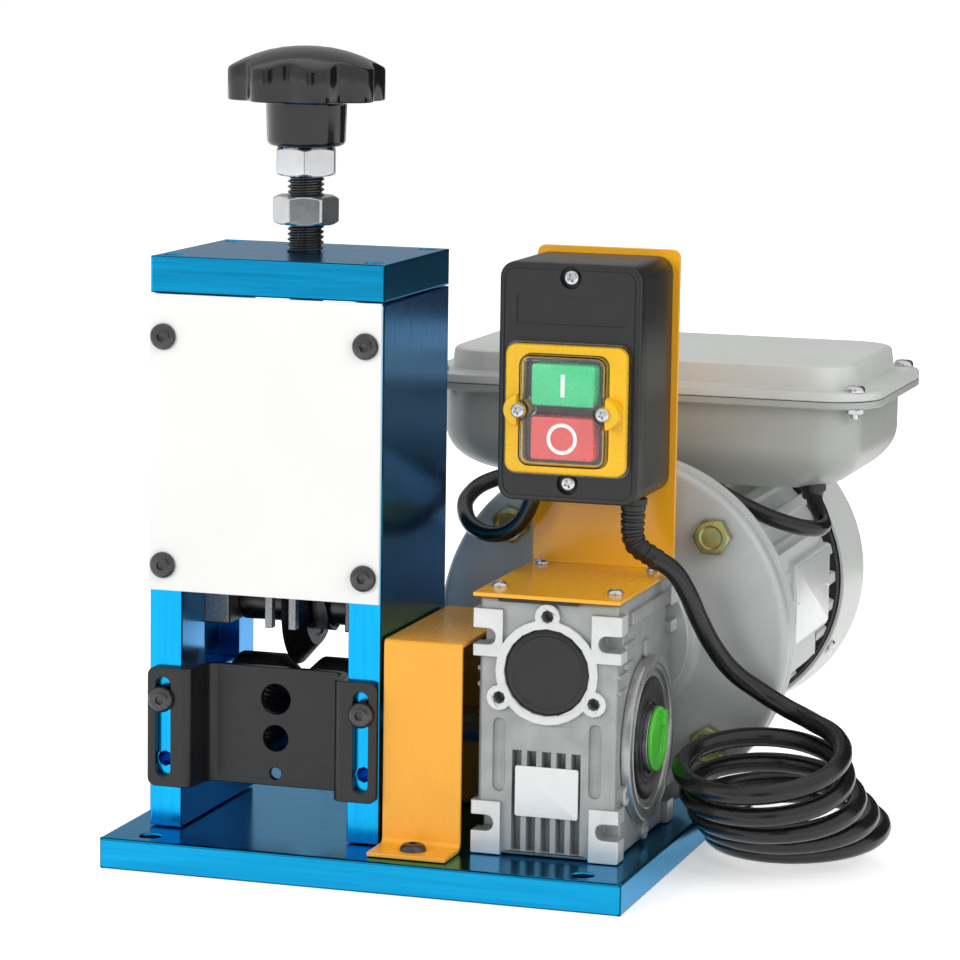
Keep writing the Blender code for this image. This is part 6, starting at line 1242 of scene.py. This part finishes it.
def makeTerminalBox():
    s = terminalSet
    halfX, halfY = s["half"]

    def section(insetX, insetY, corner, z):
        return [(x, y, z) for x, y in roundedRect(halfX - insetX, halfY - insetY, corner, s["centre"], 10)]

    inset, side, corner = s["wallInset"], s["endInset"], s["corner"] - s["wallInset"] / 2
    sections = []
    for n in range(13):
        angle = tau / 4 * n / 12
        more = s["belly"] * (1 - math.sin(angle))
        z = s["waist"] - (s["waist"] - s["bottom"]) * math.cos(angle)
        sections.append(section(side + more, inset + more, corner, z))
    rimLow = s["rimTop"] - s["rim"]
    sections += [section(side, inset, corner, rimLow - 1.0),
                 section(side - 0.5, inset - 0.5, corner, rimLow - 0.2),
                 section(side - 1.4, inset - 1.4, corner, rimLow), section(0.5, 0.5, s["corner"], rimLow),
                 section(0, 0, s["corner"], rimLow + 0.5), section(0, 0, s["corner"], s["rimTop"])]
    tub = loftShape(sections)
    rings = [(60, 0), (60, s["saddle"]), (176, s["saddle"]), (176, 0)]
    saddle = turnedShape(rings, "Y", motorSet["axis"], 144)
    meshPiece("terminalTub", combined(tub, [saddle]), "tubGrey", stands=["terminal_box"], angle=28)
    low, top = s["lidLow"], s["lidTop"]
    sections = [
        section(0.3, 0.3, 20, low), section(0, 0, 20, low + 0.4), section(0, 0, 20, low + 2.7),
        section(0.25, 0.25, 20, low + 3.3), section(0.9, 0.9, 19.6, low + 3.6),
        section(8.3, 3.2, 19, low + 3.65), section(9.3, 4.2, 18.6, low + 3.95),
        section(9.9, 4.8, 18.4, low + 4.8), section(10.7, 5.6, 18, top - 1.6),
        section(11.1, 6.0, 17.8, top - 0.7), section(11.9, 6.8, 17.2, top - 0.15),
        section(13.1, 8.0, 16.4, top),
    ]
    meshPiece("terminalLid", loftShape(sections), "lidGrey", stands=["terminal_box_lid"], angle=28)
    heads, posts = [], []
    for sideX in (-1, 1):
        for sideY in (-1, 1):
            x = s["centre"][0] + sideX * s["screwX"]
            y = s["centre"][1] + sideY * s["screwY"]
            heads.append(aimed(panHead(4.0, 2.5, 1.0, 1.9), (x, y, low + 3.6)))
            stud = [(165.4, 0), (165.4, 1.4), (165.7, 1.7), (169.4, 1.7), (169.4, 0)]
            posts.append(turnedShape(stud, "Z", (x, y), 32))
            posts.append(aimed(nutShape(6.0, 1.9, 1.6), (x, y, 167.35), spin=x))
    meshPiece("lidScrews", together(heads), "brightZinc")
    meshPiece("lidStuds", together(posts), "brightZinc")
    x, y, z = leadSet["route"][0]
    rings = [(130.6, 0), (130.6, 3.7), (131.4, 4.2), (134.0, 4.5), (134.0, 5.2), (137.5, 5.2), (137.5, 0)]
    meshPiece("leadGrommet", turnedShape(rings, "Z", (x + 0.4, y - 0.8), 48), "sealBlack")


makeFlanges()
makeMotor()
makeTerminalBox()
print("motor done")


# Bracket and switch

switchSet = {
    "centre": (63.1, 186.25), "half": (27.4, 44.75), "corner": 6.0, "lidFront": -29.0, "lidBack": -22.0,
    "screwZ": (225.6, 148.6), "screwHole": 4.0, "label": ((42.5, 208.0), (84.6, 219.0)), "labelDepth": 0.45,
    "frameCentre": (63.1, 176.7), "frameHalf": (23.35, 24.1), "frameCorner": 4.0, "frameBack": -30.5,
    "frameFront": -34.0, "postFront": -40.0, "lugX": 16.3, "lugRadius": 6.0, "postRadius": 2.8,
    "domeHalf": (16.8, 20.8), "domeFront": -39.8, "domeBack": -29.3, "wall": 1.0, "domeEdge": 2.4,
    "buttonHalf": 12.2, "buttonFace": -37.0, "buttonBack": -27.5,
    "buttons": {"start_button": (186.3, 7.75, "greenPlastic"), "stop_button": (166.5, 8.0, "redPlastic")},
    "bracketScrews": ((42.45, -45.0), (87.05, -45.0), (42.45, 9.0), (87.05, 9.0)), "bracketTop": 111.1,
}


def tubeShape(outer, inner, start, end, axis):
    put = placers[axis]
    return loftShape([[put(along, u, v) for u, v in outline]
                      for outline, along in ((outer, start), (outer, end), (inner, end), (inner, start))],
                      True)


def makeSwitchBox():
    s = switchSet
    keptNode("switch_bracket", "amberPaint", 0.3)
    keptNode("switch_box", "charcoalPlastic", 0.6, 40)
    centre, half = s["centre"], s["half"]
    lid = softSlab(half, s["corner"], s["lidFront"], s["lidBack"], 1.0, "Y", centre)
    cuts = []
    for z, halfZ, _ in s["buttons"].values():
        cuts.append(prismShape(roundedRect(s["buttonHalf"] + 0.3, halfZ + 0.3, 0.8, (centre[0], z), 2),
                               s["lidFront"] - 2, s["lidBack"] - 1, "Y"))
    for z in s["screwZ"]:
        rings = [(s["lidFront"] - 2, 0), (s["lidFront"] - 2, s["screwHole"] + 1.2),
                 (s["lidFront"] + 0.5, s["screwHole"]), (s["lidFront"] + 2.4, s["screwHole"]),
                 (s["lidFront"] + 2.4, 0)]
        cuts.append(turnedShape(rings, "Y", (centre[0], z), 48))
    (left, low), (right, high) = s["label"]
    label = roundedRect((right - left) / 2, (high - low) / 2, 0.6,
                        ((left + right) / 2, (low + high) / 2))
    cuts.append(prismShape(label, s["lidFront"] - 1, s["lidFront"] + s["labelDepth"], "Y"))
    outer = roundedRect(half[0] - 1.9, half[1] - 1.9, 4.6, centre)
    inner = roundedRect(half[0] - 2.7, half[1] - 2.7, 3.9, centre)
    cuts.append(tubeShape(outer, inner, s["lidFront"] - 1, s["lidFront"] + 0.4, "Y"))
    meshPiece("switchLid", combined(lid, cuts), "charcoalPlastic", stands=["switch_lid"])
    heads = [aimed(panHead(3.1, 1.9), (centre[0], s["lidFront"] + 2.35, z), forward, 0.4)
             for z in s["screwZ"]]
    heads += [aimed(panHead(3.0, 2.0), (*place, s["bracketTop"]), spin=place[0])
              for place in s["bracketScrews"]]
    meshPiece("switchScrews", together(heads), "brightZinc")


def makeSwitchFrame():
    s = switchSet
    centre = s["frameCentre"]
    windowHalf = (s["domeHalf"][0] + 0.3, s["domeHalf"][1] + 0.3)
    slab = softSlab(s["frameHalf"], s["frameCorner"], s["frameFront"], s["frameBack"], 1.2, "Y", centre)
    lugs, posts = [], []
    for side in (-1, 1):
        place = (centre[0] + side * s["lugX"], centre[1])
        top = s["postFront"]
        rings = [(top, 0), (top, s["lugRadius"] - 1.0), (top + 0.3, s["lugRadius"] - 0.3),
                 (top + 1.0, s["lugRadius"]), (s["frameBack"], s["lugRadius"]), (s["frameBack"], 0)]
        lugs.append(turnedShape(rings, "Y", place, 48))
        rings = [(top, 0), (top, s["postRadius"] - 0.3), (top + 0.3, s["postRadius"]),
                 (s["frameBack"], s["postRadius"]), (s["frameBack"], 0)]
        posts.append(turnedShape(rings, "Y", place, 40))
    window = prismShape(roundedRect(*windowHalf, 4.2, centre), s["postFront"] - 3, s["frameBack"] + 1, "Y")
    shape = combined(combined(slab, lugs, "UNION"), [window])
    shape = combined(shape, posts, "UNION")
    meshPiece("switchSurround", shape, "yellowPlastic", stands=["switch_frame"], angle=28)
    heads = [aimed(panHead(2.7, 1.7), (centre[0] + side * s["lugX"], s["postFront"] + 0.05, centre[1]),
                   forward, 0.3) for side in (-1, 1)]
    meshPiece("surroundScrews", together(heads), "brightZinc")


def makeClearCover():
    s = switchSet
    centre, wall = s["frameCentre"], s["wall"]
    outer = softSlab(s["domeHalf"], 4.0, s["domeFront"], s["domeBack"], s["domeEdge"], "Y", centre, 6)
    innerHalf = tuple(size - wall for size in s["domeHalf"])
    inner = softSlab(innerHalf, 3.0, s["domeFront"] + wall, s["domeBack"] + 2, s["domeEdge"] - wall, "Y",
                     centre, 6)
    lip = prismShape(roundedRect(s["frameHalf"][0] + 0.9, s["frameHalf"][1] + 0.9, 4.6, centre), -30.2,
                     s["domeBack"], "Y")
    sleeves, notches = [], []
    for side in (-1, 1):
        place = (centre[0] + side * s["lugX"], centre[1])
        for group, radius, reach in ((sleeves, s["postRadius"] + 0.3 + wall, 0),
                                     (notches, s["postRadius"] + 0.3, 3)):
            group.append(turnedShape([(s["domeFront"] - reach, 0), (s["domeFront"] - reach, radius),
                                      (s["domeBack"] + 4, radius), (s["domeBack"] + 4, 0)], "Y", place, 40))
    shell = combined(outer, [lip], "UNION")
    shell = combined(shell, [combined(inner, sleeves)])
    meshPiece("clearDome", combined(shell, notches), "clearPlastic", stands=["clear_cover"], angle=28)


def makeButtons():
    s = switchSet
    x = s["centre"][0]
    for name, (z, halfZ, finish) in s["buttons"].items():
        cap = softSlab((s["buttonHalf"], halfZ), 1.3, s["buttonFace"], s["buttonBack"], 0.8, "Y", (x, z))
        meshPiece(name + "_cap", cap, finish, name, [name])
        face = s["buttonFace"]
        if name == "start_button":
            mark = softSlab((0.75, 4.2), 0.2, face - 0.16, face + 0.2, 0.08, "Y", (x, z), 2, 2)
        else:
            rings = [(face - 0.16, 4.5), (face - 0.16, 5.8), (face + 0.2, 5.9), (face + 0.2, 4.4)]
            mark = turnedShape(rings, "Y", (x, z), 72, closed=True)
        meshPiece(name + "_mark", mark, "markWhite", name)


makeSwitchBox()
makeSwitchFrame()
makeClearCover()
makeButtons()
print("switch done")


# Floor and light

# places in metres
lightSet = {
    "floor": (0.93, 0.93, 0.925), "floorLift": 0.46, "dome": 0.60,
    "key": {"place": (-1.3, -2.2, 1.0), "size": 1.3, "power": 25.0},
    "fill": {"place": (1.3, -0.7, 0.9), "size": 1.0, "power": 8.5},
    "rear": {"place": (-0.6, 1.6, 1.6), "size": 1.2, "power": 16.0},
    # each card's middle in metres, its half sizes and its brightness
    "cards": {
        "darkCard": {"place": (0.78, 0.70, 0.60), "size": (0.72, 0.72), "shade": 0.06},
        "greyCard": {"place": (-0.80, 0.90, 0.75), "size": (0.85, 0.60), "shade": 0.42},
        "viewerCard": {"place": (0.32, -1.30, 0.45), "size": (0.24, 0.45), "shade": 0.12},
        "frontCard": {"place": (-0.42, -1.30, 0.40), "size": (0.30, 0.40), "shade": 0.72},
    },
    "aim": (0.02, 0.04, 0.13),
}


def seenDirectly(tree):
    # one for rays that see the background: from the camera, in gloss and through glass
    rays = tree.nodes.new("ShaderNodeLightPath")
    total = rays.outputs["Is Camera Ray"]
    for name in ("Is Glossy Ray", "Is Transmission Ray"):
        either = tree.nodes.new("ShaderNodeMath")
        either.operation = "MAXIMUM"
        tree.links.new(total, either.inputs[0])
        tree.links.new(rays.outputs[name], either.inputs[1])
        total = either.outputs[0]
    return total


def makeFloor():
    shape = bmesh.new()
    for x, y in ((-30, -30), (30, -30), (30, 30), (-30, 30)):
        shape.verts.new((x, y, 0))
    shape.faces.new(shape.verts[:])
    mesh = bpy.data.meshes.new("floor")
    shape.to_mesh(mesh)
    shape.free()
    material = bpy.data.materials.new("paleFloor")
    material.use_nodes = True
    tree = material.node_tree
    tree.nodes.remove(tree.nodes["Principled BSDF"])
    output = next(node for node in tree.nodes if node.type == "OUTPUT_MATERIAL")
    matt = tree.nodes.new("ShaderNodeBsdfDiffuse")
    matt.inputs["Color"].default_value = (*lightSet["floor"], 1)
    glow = tree.nodes.new("ShaderNodeEmission")
    lift = tree.nodes.new("ShaderNodeMath")
    lift.operation = "MULTIPLY"
    lift.inputs[1].default_value = lightSet["floorLift"]
    tree.links.new(seenDirectly(tree), lift.inputs[0])
    tree.links.new(lift.outputs[0], glow.inputs["Strength"])
    both = tree.nodes.new("ShaderNodeAddShader")
    tree.links.new(matt.outputs[0], both.inputs[0])
    tree.links.new(glow.outputs[0], both.inputs[1])
    tree.links.new(both.outputs[0], output.inputs["Surface"])
    mesh.materials.append(material)
    floor = bpy.data.objects.new("floor", mesh)
    scene.collection.objects.link(floor)


def makeWorld():
    world = bpy.data.worlds.new("studio")
    world.use_nodes = True
    scene.world = world
    tree = world.node_tree
    shine = tree.nodes["Background"]
    shine.inputs["Color"].default_value = (1, 1, 1, 1)
    level = addRange(tree, seenDirectly(tree), lightSet["dome"], 1.0, 0, 1)
    tree.links.new(level, shine.inputs["Strength"])


def addLamp(name, place, size, power):
    lamp = bpy.data.lights.new(name, "AREA")
    lamp.shape = "SQUARE"
    lamp.size = size
    lamp.energy = power
    obj = bpy.data.objects.new(name, lamp)
    obj.location = place
    obj.rotation_euler = (Vector(lightSet["aim"]) - Vector(place)).to_track_quat("-Z", "Y").to_euler()
    scene.collection.objects.link(obj)
    obj.visible_glossy = False


def addCard(name, place, size, shade):
    # seen only in gloss, where it takes the place of the white surroundings
    shape = bmesh.new()
    for u, v in ((-1, -1), (1, -1), (1, 1), (-1, 1)):
        shape.verts.new((u * size[0], 0, v * size[1]))
    shape.faces.new(shape.verts[:])
    mesh = bpy.data.meshes.new(name)
    shape.to_mesh(mesh)
    shape.free()
    material = bpy.data.materials.new(name)
    material.use_nodes = True
    tree = material.node_tree
    tree.nodes.remove(tree.nodes["Principled BSDF"])
    output = next(node for node in tree.nodes if node.type == "OUTPUT_MATERIAL")
    tone = tree.nodes.new("ShaderNodeEmission")
    tone.inputs["Strength"].default_value = shade
    tree.links.new(tone.outputs[0], output.inputs["Surface"])
    mesh.materials.append(material)
    card = bpy.data.objects.new(name, mesh)
    card.location = place
    scene.collection.objects.link(card)
    card.visible_camera = card.visible_diffuse = card.visible_shadow = card.visible_transmission = False


makeFloor()
makeWorld()
for lampName in ("key", "fill", "rear"):
    addLamp(lampName, **lightSet[lampName])
for cardName, values in lightSet["cards"].items():
    addCard(cardName, **values)
scene.view_settings.view_transform = "Standard"
print("light set")
